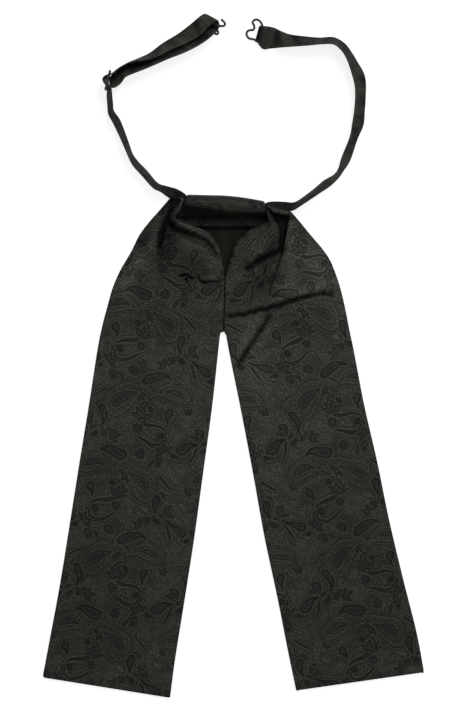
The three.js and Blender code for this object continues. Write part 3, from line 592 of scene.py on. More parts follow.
def tail_piece(name, table, folds, patches, turn, seam_side):
    """The tail's wall. Each station of the table is a straight line from the outer edge to the
    inner one in plan. Its height is blended between the two edges' heights with a swell
    between them, and then folded. turn is the lean of the cloth's grain from the Y axis, and
    seam_side is -1 for the tail that the other laps over along the seam, and 1 for that."""
    across = spread(TAIL_WIDTH, TAIL_SPACING, TAIL_RIM)
    places = np.linspace(0, len(table) - 1, LENGTH_PLACES)
    mid = between(table, places)
    centre = (mid[:, 0:2] + mid[:, 3:5]) / 2
    run = np.concatenate([[0], np.cumsum(np.hypot(*np.diff(centre, axis=0).T))])
    down = spread(run[-1], TAIL_SPACING, TAIL_RIM)
    rows = between(table, np.interp(down * run[-1], run, places))[:, None, :]
    share = across[None, :]
    from_outer, from_inner = share * TAIL_WIDTH, (1 - share) * TAIL_WIDTH
    x = rows[..., 0] + (rows[..., 3] - rows[..., 0]) * share
    y = rows[..., 1] + (rows[..., 4] - rows[..., 1]) * share
    edge_x, edge_y = rows[..., 3], rows[..., 4]

    meets = smooth(edge_y, SEAM_Y[0] + SEAM_JOIN, SEAM_Y[0])
    meets = meets * smooth(edge_y, SEAM_Y[1] - SEAM_PART, SEAM_Y[1] + SEAM_PART)
    seam_x = np.interp(-edge_y, np.negative(SEAM_Y), SEAM_X) - seam_side * SEAM_OVERLAP / 2
    x = x + (seam_x - edge_x) * meets * share ** SEAM_PULL

    way = rows[-1, 0, 3:5] - rows[-1, 0, 0:2]
    way /= np.hypot(*way)
    to_end = (1 - down[:, None]) * run[-1]
    for from_side, radius, sign in zip((from_outer, from_inner), CORNER_RADII, (1, -1)):
        over, up = rounded_corner(from_side, to_end, radius)
        x = x + sign * over * way[0] - up * way[1]
        y = y + sign * over * way[1] + up * way[0]

    lift = rows[..., 2] + (rows[..., 5] - rows[..., 2]) * smooth(share, 0, 1)
    lift = lift + rows[..., 6] * np.sin(np.pi * share)
    lift, painted_shade = folded(folds, x, y, np.maximum(0, lift))
    low = np.interp(edge_y, *np.array(TURN_DOWN).T)
    turned = 1 - np.sqrt(1 - (1 - np.clip(from_inner / TURN_REACH, 0, 1)) ** 2)
    lift = lift - np.maximum(0, lift - low) * turned * smooth(edge_y, *TURN_START)
    pucker = puckers(x, y)
    lift = lift + PUCKER_HEIGHT * np.maximum(0, pucker)
    if seam_side > 0:
        lift = lift + SEAM_RISE * meets * np.exp(-(from_inner / SEAM_RISE_REACH) ** 2)
    shade = SEAM_SHADE * meets * np.exp(-(from_inner / SEAM_SHADE_REACH) ** 2)

    full = rim_fullness(down, across, (run[-1], TAIL_WIDTH))
    face = np.stack([x, y, lift + TAIL_WALL / 2 * (1 + full)], -1)
    back = np.stack([x, y, lift + TAIL_WALL / 2 * (1 - full)], -1)
    cos, sin = np.cos(turn), np.sin(turn)
    cloth = np.stack([x * cos + y * sin, y * cos - x * sin], -1)
    # painted shade in the creases, hollows and along the seam, which darkens the cloth's colour
    fields = {"painted_shade": np.maximum(painted_shade, shade),
              "painted_sheen": painted_sheen(patches, x, y) + PUCKER_PAINTED_SHEEN * pucker,
              **paisley(cloth)}
    return wall_mesh(name, face, back, BACK_STEP, cloth, fields)


def colour(code):
    """A hex sRGB colour as linear RGBA."""
    parts = np.array([int(code[i:i + 2], 16) / 255 for i in (0, 2, 4)])
    linear = np.where(parts <= 0.04045, parts / 12.92, ((parts + 0.055) / 1.055) ** 2.4)
    return (*linear.tolist(), 1.0)


def new_material(name):
    """A material, its node tree and its shader."""
    material = bpy.data.materials.new(name)
    material.use_nodes = True
    tree = material.node_tree
    return material, tree, tree.nodes["Principled BSDF"]


def add(tree, kind, output, inputs=(), stops=(), **settings):
    """A shader node of that kind with its settings, a ramp's stops as places and colours, and
    its inputs, by name or in order, set or linked. It gives back the output of that name."""
    made = tree.nodes.new("ShaderNode" + kind)
    for key, value in settings.items():
        setattr(made, key, value)
    if stops:
        ramp = made.color_ramp.elements
        ramp.remove(ramp[1])
        ramp[0].position, ramp[0].color = stops[0]
        for place, shade in stops[1:]:
            ramp.new(place).color = shade
    for key, value in inputs.items() if isinstance(inputs, dict) else enumerate(inputs):
        if isinstance(value, bpy.types.NodeSocket):
            tree.links.new(value, made.inputs[key])
        else:
            made.inputs[key].default_value = value
    return made.outputs[output]


# The drawn pattern: for each field, where in mm a stripe begins and its tone, from -1.5, the
# darkest, to 1. None leaves what is under it.
PAISLEY_STRIPES = [
    ("strand", [(-0.45, -0.5), (0, 0.7)]),
    ("frond", [(-2.6, 0.5), (-1.9, -0.6), (-1.3, 0.3)]),
    ("crozier", [(-1.0, 0.8), (-0.4, -0.9), (0.5, -0.3), (1.1, 0.2)]),
    ("rose", [(-0.9, 0.6), (-0.2, -0.8), (0.5, -0.3), (1.4, -0.8), (2.0, 0.1), (2.8, -0.9)]),
    ("knob", [(-0.8, 0.5), (-0.2, -0.9), (0.9, -0.5), (1.5, -0.8)]),
    ("boteh", [(-2.4, 0.5), (-1.8, -0.3), (-0.9, 0.7), (-0.35, -0.8), (0.4, 0.2), (4.2, -0.5), (4.8, 0.5),
               (5.4, -0.1)]),
    ("bead", [(0.2, -0.8)]),
    ("scallop", [(0.7, 0.6), (1.2, None)]),
    ("leaf", [(-0.9, 0.7), (-0.35, -0.8), (0.3, -0.35), (1.1, 0.35), (1.5, -0.4)]),
    ("drop", [(-2.2, 0.5), (-1.7, 0), (-1.2, 0.6), (-0.6, -1.1), (0.45, -0.35), (1.3, 0.4), (1.8, -0.4)]),
]
# half the width of a stripe's soft edge, the spacing of the ripples that follow the outlines,
# and the tones that black and white in the ramps stand for
STRIPE_SOFT = 0.16
RIPPLE = 1.9
TONE_RANGE = (-1.5, 1.0)


def tone_share(tone):
    """A tone as a share of the range of tones."""
    return (tone - TONE_RANGE[0]) / (TONE_RANGE[1] - TONE_RANGE[0])


def stripes(tree, under, name, rows):
    """The tones of a field's stripes laid over what is under them: a ramp over the field,
    whose alpha is 0 where a stripe leaves what is there."""
    low, high = rows[0][0] - 1, rows[-1][0] + 1
    tone, cover = rows[0][1], 0.0
    stops = [(0, (tone_share(tone),) * 3 + (cover,))]
    for start, value in rows:
        for at in (start - STRIPE_SOFT, start + STRIPE_SOFT):
            if at > start:
                tone, cover = (tone if value is None else value), float(value is not None)
            stops.append(((at - low) / (high - low), (tone_share(tone),) * 3 + (cover,)))
    field = add(tree, "Attribute", "Fac", attribute_name=name)
    share = add(tree, "MapRange", "Result", (field, low, high, 0, 1))
    alpha = add(tree, "ValToRGB", "Alpha", (share,), stops)
    laid = {"Factor": alpha, "A": under, "B": alpha.node.outputs["Color"]}
    return add(tree, "Mix", "Result", laid, data_type="FLOAT")


def with_painted_sheen(tree, colours):
    """A colour made lighter by the share that the mesh's painted sheen says, or darker where that
    is negative: painted highlights and painted shade.
    """
    share = add(tree, "Attribute", "Fac", attribute_name="painted_sheen")
    factor = add(tree, "Math", "Value", (share, 1.0), operation="ADD")
    return add(tree, "VectorMath", "Vector", {0: colours, "Scale": factor}, operation="SCALE")


# Satin jacquard: black on black, with a soft sheen that shows the folds, partly real gloss and
# partly painted highlights and painted shade in its colour. The motifs are floats of satin
# drawn in lighter and darker lines on a dotted ground, which ripples beside them.
# Real threads are about 0.2 mm apart, too fine to show, so the twill and the speckle of the
# threads are drawn coarser. Sizes are in mm, and tones as in the stripes.
# The ground's dots: their spacing, and as shares of it the edges of a dot and of its ring.
DOT_SPACING = 2.6
DOT_EDGE = (0.17, 0.28)
RING_INNER = (0.26, 0.34)
RING_OUTER = (0.42, 0.52)
DOT_TONE = 0.32
RING_TONE = 0.12
RIPPLE_TONE = 0.2
# Patches vary the ground's tone and how clear the pattern is: size, the span of the noise that
# they use, and what its ends stand for.
GROUND_PATCH = (6.667, (0.35, 0.65), (-0.22, 0.02))
CLEAR_PATCH = (13.333, (0.35, 0.65), (0.75, 1.05))
# The speckle of the threads and slow clouds: size, octaves, span of the noise, change of tone.
TONE_NOISES = [(1.25, 2.0, (0.25, 0.75), 0.24), (25, 3.0, (0.3, 0.7), 0.05)]
INKS = [(0, colour("030403")), (0.6, colour("121311")), (1, colour("252621"))]
# The painted shade in creases, hollows, along the seam and on the roll: the near black that the inks go
# towards, and how far they go at the deepest.
PAINTED_SHADE_INK = colour("010101")
PAINTED_SHADE_DEPTH = 0.85
# roughness from the darkest tone to the lightest, and gloss from where no shade is painted to
# where the painted shade is deepest
JACQUARD_ROUGHNESS = (0.6, 0.45)
JACQUARD_GLOSS = (0.022, 0.006)
# the twill's lines, how much they stand out beside the pattern, and the depth of both
TWILL_SPACING = 2.094
TWILL_SHARE = 0.3
TWILL_DEPTH = 0.2
# what a diagonal wave texture of scale 1 repeats after
DIAGONAL_WAVE = 2 * np.pi / 10

jacquard, tree, shader = new_material("black_satin_jacquard")
cloth_place = add(tree, "UVMap", "UV", uv_map="cloth")

from_dot = add(tree, "TexVoronoi", "Distance",
               {"Vector": cloth_place, "Scale": 1 / (DOT_SPACING * MM), "Randomness": 0.8})
size, span, tones = GROUND_PATCH
patch = add(tree, "TexNoise", "Fac",
            {"Vector": cloth_place, "Scale": 1 / (size * MM), "Detail": 1.0})
ground = add(tree, "MapRange", "Result", (patch, *span, *map(tone_share, tones)))
ring_start = add(tree, "MapRange", "Result", (from_dot, *RING_INNER, 0, 1))
ring_end = add(tree, "MapRange", "Result", (from_dot, *RING_OUTER, 1, 0))
ring = add(tree, "Math", "Value", (ring_start, ring_end), operation="MULTIPLY")
ground = add(tree, "Math", "Value", (ring, RING_TONE, ground), operation="MULTIPLY_ADD")
dot = add(tree, "MapRange", "Result", (from_dot, *DOT_EDGE, DOT_TONE, 0))
ground = add(tree, "Math", "Value", (ground, dot), operation="SUBTRACT")

boteh_field, stem_field, drop_field = (
    add(tree, "Attribute", "Fac", attribute_name=name) for name in ("boteh", "crozier", "drop"))
beside = add(tree, "Math", "Value", (boteh_field, stem_field), operation="MAXIMUM")
beside = add(tree, "Math", "Value", (beside, drop_field), operation="MAXIMUM")
turns = add(tree, "Math", "Value", (beside, 2 * np.pi / RIPPLE), operation="MULTIPLY")
ripple = add(tree, "Math", "Value", (turns,), operation="SINE")
plain = add(tree, "Math", "Value", (ripple, RIPPLE_TONE, ground), operation="MULTIPLY_ADD")
tone = plain
for name, rows in PAISLEY_STRIPES:
    tone = stripes(tree, tone, name, rows)
size, span, shares = CLEAR_PATCH
patch = add(tree, "TexNoise", "Fac",
            {"Vector": cloth_place, "Scale": 1 / (size * MM), "Detail": 1.0})
clear = add(tree, "MapRange", "Result", (patch, *span, *shares))
tone = add(tree, "Mix", "Result", {"Factor": clear, "A": plain, "B": tone}, data_type="FLOAT")
for size, detail, span, change in TONE_NOISES:
    noise = add(tree, "TexNoise", "Fac",
                {"Vector": cloth_place, "Scale": 1 / (size * MM), "Detail": detail})
    noise = add(tree, "MapRange", "Result", (noise, *span, -change, change))
    tone = add(tree, "Math", "Value", (tone, noise), operation="ADD")

inks = add(tree, "ValToRGB", "Color", (tone,), INKS)
# painted shade: the inks, already lightened or darkened by the painted sheen, go towards near black where
# shade is painted
painted_shade = add(tree, "Attribute", "Fac", attribute_name="painted_shade")
dark = add(tree, "Math", "Value", (painted_shade, PAINTED_SHADE_DEPTH), operation="MULTIPLY")
shaded = add(tree, "Mix", "Result",
             {"Factor": dark, "A": with_painted_sheen(tree, inks), "B": PAINTED_SHADE_INK}, data_type="RGBA")
roughness = add(tree, "MapRange", "Result", (tone, 0, 1, *JACQUARD_ROUGHNESS))
gloss = add(tree, "MapRange", "Result", (painted_shade, 0, 1, *JACQUARD_GLOSS))
twill_scale = DIAGONAL_WAVE / (TWILL_SPACING * MM)
twill = add(tree, "TexWave", "Fac",
            {"Vector": cloth_place, "Scale": twill_scale, "Distortion": 0.4},
            bands_direction="DIAGONAL")
relief = add(tree, "Math", "Value", (twill, TWILL_SHARE, tone), operation="MULTIPLY_ADD")
bump = add(tree, "Bump", "Normal",
           {"Height": relief, "Strength": 0.25, "Distance": TWILL_DEPTH * MM})
tree.links.new(shaded, shader.inputs["Base Color"])
tree.links.new(roughness, shader.inputs["Roughness"])
tree.links.new(gloss, shader.inputs["Specular IOR Level"])
tree.links.new(bump, shader.inputs["Normal"])

# lean of the cloth's grain from the Y axis, as the tails spread
LEAN_LEFT = np.radians(-9)
LEAN_RIGHT = np.radians(11.9)
left_tail = tail_piece("left_tail_cloth", LEFT_TAIL, LEFT_FOLDS, LEFT_PAINTED_SHEEN, LEAN_LEFT, -1)
right_tail = tail_piece("right_tail_cloth", RIGHT_TAIL, RIGHT_FOLDS, RIGHT_PAINTED_SHEEN, LEAN_RIGHT, 1)
for tail, node in ((left_tail, "left_tail"), (right_tail, "right_tail")):
    tail.data.materials.append(jacquard)
    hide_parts(node)
    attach(tail, "root")

# Neck roll: the rolled fold across the middle, cut from the same jacquard and folded over the
# ends of the neckband as an open sleeve. It is a wall bent along an outline that changes from
# end to end: a tube, a steep front, a sunk strip in the tube's shade, and a low hem.
ROLL_WALL = 2.0
ROLL_COLUMNS = 130
ROLL_ROWS = 80
# y of the tube's back and front, height of the tube, at even steps from left to right
ROLL_STATIONS = [(7.7, -0.6, 17.5), (7.35, -3.9, 17.3), (6.95, -6, 16.9), (5.4, -7.1, 16.2),
                 (2.8, -6.6, 15.4)]
# part of the tube's depth, part of its height
ROLL_TUBE = [(0.03, 0), (0, 0.2), (0.03, 0.46), (0.12, 0.75), (0.32, 0.95), (0.6, 1), (0.86, 0.95),
             (0.97, 0.8), (1, 0.6)]
# y and z of the front
ROLL_FRONT = [(-8.5, 6.2), (-10, 4.6), (-11.9, 4.2), (-13.6, 4.5), (-14.9, 5.2), (-16.1, 5),
              (-16.9, 3.9), (-17.2, 3.2)]
# y, x of the left end, x of the right end
ROLL_ENDS = [(-17, -35.5, 30.5), (-12, -38.2, 32), (-5, -37.2, 32), (-3, -36, 31.6), (-1.6, -34.9, 30),
             (-0.4, -34, 29.2), (2, -32.4, 29), (4.5, -31, 28.8), (8, -29.2, 28.6)]
# x where the roll's right end starts to go down under the head, the height that it goes down
# to, and y and x of the left head's edge, where the left end does the same. The slopes take
# this much of x, and the left one goes this far under the edge.
ROLL_PINCH = (29, 9.8)
ROLL_HEAD = [(-11, -36.6), (-5.3, -34.6), (4, -31)]
ROLL_SLOPE = 1.4
ROLL_UNDER = 0.2
# At its ends the wall gets its full thickness over this many steps, from this part of a step.
ROLL_RIM = (2, 0.4)
# The strip below the tube's front, as the photo shows it, is in shadow: how dark, over what
# distance from the front that sets in, the y between which it ends, and how much less dark it
# is to the right and at the left end, with the x between which it gets so.
# This shadow is painted: it darkens the cloth's colour.
STRIP_SHADOW = 0.84
STRIP_START = 1.8
STRIP_END = (-15.6, -13.6)
STRIP_RIGHT = (0.2, 0, 26)
STRIP_LEFT = (0.85, -31.2, -34)
# All of the roll has a little shade painted on it. There is more within a reach of the tube's
# back, more in the dip before the hem, and most at the right end, between these y and x.
ROLL_SHADE = 0.47
BACK_SHADE = 0.36
BACK_REACH = 1.6
DIP_SHADE = 0.28
DIP_START = (-12, -14)
DIP_END = (-17.1, -16.6)
END_SHADE = 0.75
END_X = (29, 29.8)
END_Y = (1, -1.5)


def roll_piece():
    """The roll's wall. At each station along X its outline in Y and Z is a smooth curve through
    the tube's and the front's points. The ends sink where they pass under the heads. Face and
    back lie on both sides of the outline's normal, and come together at the ends."""
    along = np.linspace(0, 1, ROLL_ROWS + 1)
    tube_back, tube_front, tall = between(ROLL_STATIONS, along * (len(ROLL_STATIONS) - 1)).T[:, :, None]
    tube, front = np.array(ROLL_TUBE), np.array(ROLL_FRONT)
    tube_y = tube_back + (tube_front - tube_back) * tube[:, 0]
    front_y = np.broadcast_to(front[:, 0], (len(along), len(front)))
    knots_y = np.concatenate([tube_y, front_y], 1)
    knots_z = np.concatenate([tall * tube[:, 1], np.broadcast_to(front[:, 1], front_y.shape)], 1)
    steps = np.linspace(0, knots_y.shape[1] - 1, ROLL_COLUMNS + 1)
    y = between(knots_y.T, steps).T
    ends = np.array(ROLL_ENDS)
    left, right = (np.interp(y, ends[:, 0], ends[:, k]) for k in (1, 2))
    x = left + (right - left) * along[:, None]
    z = np.maximum(0, between(knots_z.T, steps).T)
    head = np.interp(y, *np.array(ROLL_HEAD).T)
    pinch_left = smooth(head - x, -ROLL_SLOPE, ROLL_UNDER)
    pinch = np.maximum(smooth(x, ROLL_PINCH[0], ROLL_PINCH[0] + ROLL_SLOPE), pinch_left)
    z = z - pinch * np.maximum(0, z - ROLL_PINCH[1])
    way_y, way_z = np.gradient(y, axis=1), np.gradient(z, axis=1)
    size = np.hypot(way_y, way_z)
    from_end = np.minimum(np.arange(ROLL_ROWS + 1), np.arange(ROLL_ROWS, -1, -1))[:, None]
    full = np.sqrt(np.clip((from_end + ROLL_RIM[1]) / ROLL_RIM[0], 0, 1))
    sides = []
    for inward in (ROLL_WALL / 2 * (1 - full), ROLL_WALL / 2 * (1 + full)):
        inner_y, inner_z = y - inward * way_z / size, z + inward * way_y / size
        sides.append(np.stack([x, inner_y, np.maximum(0, inner_z)], -1))

    # painted shadow on the strip and painted shade on the rest of the roll, which darken its colour
    shadow = STRIP_SHADOW - STRIP_RIGHT[0] * smooth(x, *STRIP_RIGHT[1:])
    shadow = shadow * smooth(tube_front - y, 0, STRIP_START) * smooth(y, *STRIP_END)
    shadow = shadow * (1 - STRIP_LEFT[0] * smooth(x, *STRIP_LEFT[1:]))
    shade = ROLL_SHADE + BACK_SHADE * smooth(y - tube_back, -BACK_REACH, 0)
    shade = shade + DIP_SHADE * smooth(y, *DIP_START) * smooth(y, *DIP_END)
    shade = np.maximum(shade, END_SHADE * smooth(x, *END_X) * smooth(y, *END_Y))
    cloth = np.stack([x, -np.cumsum(size, 1)], -1)
    fields = {"painted_shade": np.maximum(shade, shadow), **paisley(cloth)}
    return wall_mesh("neck_roll_cloth", sides[0], sides[1], 1, cloth, fields)


neck_roll = roll_piece()
neck_roll.data.materials.append(jacquard)
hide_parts("neck_roll")
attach(neck_roll, "root")

# Centre panel: the plain piece that shows as a V between the heads. It is a small blade of
# black lining satin, cut to a point and sewn in flat under the roll and the heads' pleats.
PANEL_THICKNESS = 1.15
PANEL_ROWS = 57
PANEL_COLUMNS = 33
# y, half width
PANEL_EDGE = [(2, 5), (0.6, 10), (-6, 12), (-8, 24.5), (-18, 22.5), (-31, 13), (-42, 6), (-55, 1.5)]
# height of its slow wave, and how fast that goes in x and y
PANEL_WAVE = 0.12
PANEL_WAVE_RATE = (0.55, 0.08)
# y, half width of the V between the heads, and the x of its middle
PANEL_OPEN = [(-55, 0.6), (-42.5, 2.6), (-32.9, 5), (-25.3, 7.2), (-20.5, 12.4), (-8, 26)]
PANEL_MIDDLE = -0.6
# Shade from the heads and the roll is painted on it, within this reach of the V's edges and
# between these y.
PANEL_SHADE = 0.45
PANEL_SHADE_REACH = 3.5
PANEL_SHADE_Y = (-22, -17.5)

# Lining satin: plain and dull beside the jacquard, a little warm, with slubs in its threads.
# Its threads are about 0.15 mm, too fine to show, so the weft is drawn coarser. Sizes in mm.
SLUB = 2.222
SLUB_SPAN = (0.3, 0.7)
LINING_INKS = [(0.3, colour("030302")), (0.7, colour("0b0a07"))]
# the near black that the lining's colour goes towards where shade is painted on it
LINING_SHADE = colour("030302")
LINING_ROUGHNESS = (0.5, 0.62)
WEFT_SPACING = 0.748
WEFT_DEPTH = 0.1
# what a straight wave texture of scale 1 repeats after
STRAIGHT_WAVE = 2 * np.pi / 20

lining, tree, shader = new_material("plain_black_satin")
place = add(tree, "UVMap", "UV", uv_map="cloth")
slubs = add(tree, "TexNoise", "Fac", {"Vector": place, "Scale": 1 / (SLUB * MM), "Detail": 2.0})
weft = add(tree, "TexWave", "Fac",
           {"Vector": place, "Scale": STRAIGHT_WAVE / (WEFT_SPACING * MM), "Distortion": 0.6})
satin = add(tree, "ValToRGB", "Color", (slubs,), LINING_INKS)
# painted shade from the heads and the roll
painted_shade = add(tree, "Attribute", "Fac", attribute_name="painted_shade")
shaded = add(tree, "Mix", "Result", {"Factor": painted_shade, "A": satin, "B": LINING_SHADE},
             data_type="RGBA")
roughness = add(tree, "MapRange", "Result", (slubs, *SLUB_SPAN, *LINING_ROUGHNESS))
bump = add(tree, "Bump", "Normal", {"Height": weft, "Strength": 0.2, "Distance": WEFT_DEPTH * MM})
tree.links.new(shaded, shader.inputs["Base Color"])
tree.links.new(roughness, shader.inputs["Roughness"])
tree.links.new(bump, shader.inputs["Normal"])
shader.inputs["Specular IOR Level"].default_value = 0.02


def panel_piece():
    """The panel's wall: at each y a straight row as wide as the table says, laid flat, whose
    thickness has a slow sine wave in it, since it is drawn together."""
    edge = np.array(PANEL_EDGE)[::-1]
    y = np.linspace(edge[-1, 0], edge[0, 0], PANEL_ROWS)[:, None]
    x = np.interp(y, edge[:, 0], edge[:, 1]) * np.linspace(-1, 1, PANEL_COLUMNS)
    y = np.broadcast_to(y, x.shape)
    rate_x, rate_y = PANEL_WAVE_RATE
    z = PANEL_THICKNESS + PANEL_WAVE * np.sin(rate_x * x + rate_y * y)
    open_half = np.interp(y, *np.array(PANEL_OPEN).T)
    under_head = smooth(np.abs(x - PANEL_MIDDLE) - open_half, -PANEL_SHADE_REACH, 0)
    # painted shade under and beside the heads' edges and under the roll's hem
    painted_shade = PANEL_SHADE * np.maximum(under_head, smooth(y, *PANEL_SHADE_Y))
    face, back = np.stack([x, y, z], -1), np.stack([x, y, np.zeros_like(x)], -1)
    return wall_mesh("centre_panel_cloth", face, back, 1, face[..., :2], {"painted_shade": painted_shade})


centre_panel = panel_piece()
centre_panel.data.materials.append(lining)
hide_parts("centre_panel")
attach(centre_panel, "root")

# Neckband: a strip of satin folded to 16 mm and pressed. The right half ends in a fold over the
# eye's bar, and the left half goes through the slider, round the hook and back to the slider's
# middle bar. It partly stands on edge, so each table gives its foot and its top edge in plan.
BAND_WIDTH = 16
BAND_WALL = 1.2
BAND_STEP = 1.6
BAND_COLUMNS = 8
# share of the width that each edge is rounded over, and the least share of the thickness
BAND_RIM = 0.06
BAND_RIM_LEAST = 0.2
# places on each row of a table that a band's length is measured on
BAND_PLACES = 60
# foot_x, foot_y, top_x, top_y, lift, wide
RIGHT_BAND = [
    (18, 0, 18, 0, 0, 8), (27.2, -0.4, 27.2, -0.2, 0, 7), (29.3, -0.7, 29.3, 0.5, 0, 9),
    (31.2, -1.2, 31, 1.4, 0, 12.5), (34.5, -1.7, 34, 1.8, 0, 16), (39, -2.6, 39, 1.9, 0, 16),
    (46, -4.4, 44.5, 1.7, 0, 16), (50.5, -3.9, 49, 1.2, 0, 16), (54.2, -1.6, 52.5, 1.9, 0, 16),
    (59.6, 2, 56.8, 4.6, 0, 16), (69.4, 8.5, 66, 11.6, 0, 16), (77.6, 14, 73.3, 17.8, 0, 16),
    (83.5, 19.5, 80.5, 22, 0, 16), (87.5, 25, 84, 26.5, 0, 16), (93, 33.5, 86.5, 35, 0, 16),
    (98.5, 49.5, 92.5, 50, 0, 16), (103, 60, 94.5, 61, 0, 16), (104, 71, 96, 71, 0, 16),
    (104.7, 82.5, 96.7, 82, 0, 16), (104.7, 93, 96.1, 90, 0, 16), (102.8, 100, 94, 98, 0, 16),
    (98.6, 107, 91.4, 106, 0, 16), (94.4, 114, 88.8, 111.6, 0, 16), (89, 121, 85.6, 116, 0, 16),
    (80.8, 125.6, 79.8, 119.9, 0, 16), (70, 125.3, 70, 119.8, 0, 16), (60, 126.2, 60.5, 118.9, 0, 16),
    (48, 127.9, 47, 118, 0, 15), (40.5, 130.9, 38.5, 117.6, 0, 14), (35.5, 133.2, 33.6, 117.3, 0, 15),
    (29.9, 133.9, 28, 116.7, 0, 16), (27.2, 134.3, 24.9, 119.8, 0.2, 13.2),
    (26, 134.3, 23.1, 122.6, 0.8, 10.7), (25.4, 134.2, 22.5, 123.4, 2.1, 10),
    (26, 134.3, 23.1, 122.6, 2.9, 10.7), (27.2, 134.3, 24.9, 119.8, 3.2, 13.2),
    (29.9, 133.9, 28, 116.6, 3.2, 16), (33.5, 133.4, 31, 116.9, 3.2, 15.4),
    (37.3, 130.9, 35.3, 119.3, 3.2, 11.8),
]
LEFT_BAND = [
    (-16.5, 2.6, -16.5, 2.6, 0, 8), (-26.5, 3.8, -26.5, 3.8, 0, 8), (-28.8, 3.9, -28.7, 4.9, 0, 9.5),
    (-30.4, 4.1, -29.9, 6.4, 0, 12), (-32.8, 4.9, -31.4, 8.2, 0, 15), (-41, 4.6, -37.2, 11.6, 0, 16),
    (-49.1, 10, -44.6, 13.5, 0, 16), (-54.8, 13, -51.3, 16, 0, 16), (-63.4, 22.5, -59, 25, 0, 16),
    (-69.6, 29.5, -65.4, 31.5, 0, 16), (-73, 36, -69.8, 37.5, 0, 16), (-76, 43, -72.3, 44.5, 0, 16),
    (-80, 52, -75.5, 53.5, 0, 16), (-84.3, 61, -79.3, 63, 0, 16), (-88, 68, -84, 70, 0, 16),
    (-88.7, 75, -84.6, 75, 0.4, 16), (-89.2, 80.5, -85.2, 80.5, 1.2, 16), (-89.1, 84, -85.5, 84, 1.7, 16),
    (-88.9, 86.6, -86, 87.4, 1.8, 16), (-89.2, 88.6, -87.3, 89.6, 1.8, 16),
    (-89.9, 90.1, -89.9, 90.1, 1.8, 16), (-91.1, 91.4, -91.1, 91.4, 1.8, 16),
    (-92, 93.9, -92, 93.9, 1.8, 16), (-90.1, 95.9, -90.1, 95.9, 1.8, 16),
    (-87.4, 97.4, -87.2, 97, 1.8, 16), (-84.8, 98.8, -84.3, 97.8, 1.8, 16),
    (-80.9, 102, -80.5, 101.2, 1, 16), (-73.5, 106.4, -72.8, 105.5, 0, 16),
    (-66, 109.6, -64.3, 107.4, 0, 16), (-57, 114, -53.5, 109.4, 0, 16),
    (-47.5, 121.2, -42.5, 115.2, 0, 16), (-36, 128.3, -29, 121, 0, 16), (-27, 135.2, -19.5, 126.5, 0, 16),
    (-20, 141, -12.5, 133.4, 1.2, 16), (-16.4, 143.1, -7.4, 137.1, 2.2, 16),
    (-14.9, 142.6, -5.6, 136.8, 1.9, 16), (-14.8, 140.7, -5.1, 134, 1, 16),
    (-16.7, 137, -6.1, 130.6, 0.3, 16), (-21.5, 131.6, -12.6, 124.4, 0, 16),
    (-28, 125.8, -20.6, 118.9, 0, 16), (-36.5, 120.5, -31, 113.6, 0, 16), (-46.5, 115.5, -43, 109, 0, 16),
    (-57.5, 110.4, -53.4, 104.4, 0, 16), (-66, 107.4, -62, 100.8, 0, 16), (-74, 105.4, -71, 97.3, 0, 16),
    (-78, 103.1, -75.6, 94.9, 0.2, 16), (-81, 101.2, -78.5, 90.8, 0.4, 16),
    (-83.9, 98.8, -82, 88, 0.6, 16), (-86.2, 97, -85.7, 87.1, 0.8, 16),
    (-86.9, 96.2, -86.6, 90.6, 1.4, 16), (-87.6, 95.4, -87.4, 93.2, 1.8, 16),
    (-88.4, 94.8, -88.4, 94.8, 1.8, 16), (-89.6, 94.6, -89.6, 94.6, 1.8, 16),
    (-90.4, 93.5, -90.4, 93.5, 1.8, 16), (-90.2, 92.1, -90.2, 92.1, 1.8, 16),
    (-88.9, 91.3, -88.9, 91.3, 1.8, 16), (-87.9, 91.1, -87.9, 91.1, 1.8, 16),
]
# Painted highlights and painted shade where the bands' satin catches the light or loses it, as
# for the tails.
BAND_PAINTED_SHEEN = [
    (-80, 50, 26, 18, 110, 0.75), (-58, 22, 24, 14, -35, 1.25), (-40, 8, 8, 6, 0, -0.1),
    (70, 20, 26, 14, 35, 1.3), (62, 124, 24, 14, 0, -0.33), (28, 126, 12, 12, 0, -0.28),
    (98, 60, 14, 20, 80, -0.1), (-33, 133, 18, 8, 40, -0.15),
]


def band_edges(table, place):
    """The band's foot and top edges in millimetres. The top stands over the foot by as much
    as the band's width is more than their distance in plan."""
    rows = between(table, place)
    lift = np.maximum(0, rows[:, 4])
    foot = np.column_stack([rows[:, 0:2], lift])
    apart = np.hypot(*(rows[:, 2:4] - rows[:, 0:2]).T)
    stand = np.sqrt(np.maximum(0, rows[:, 5] ** 2 - apart ** 2))
    return foot, np.column_stack([rows[:, 2:4], lift + stand])


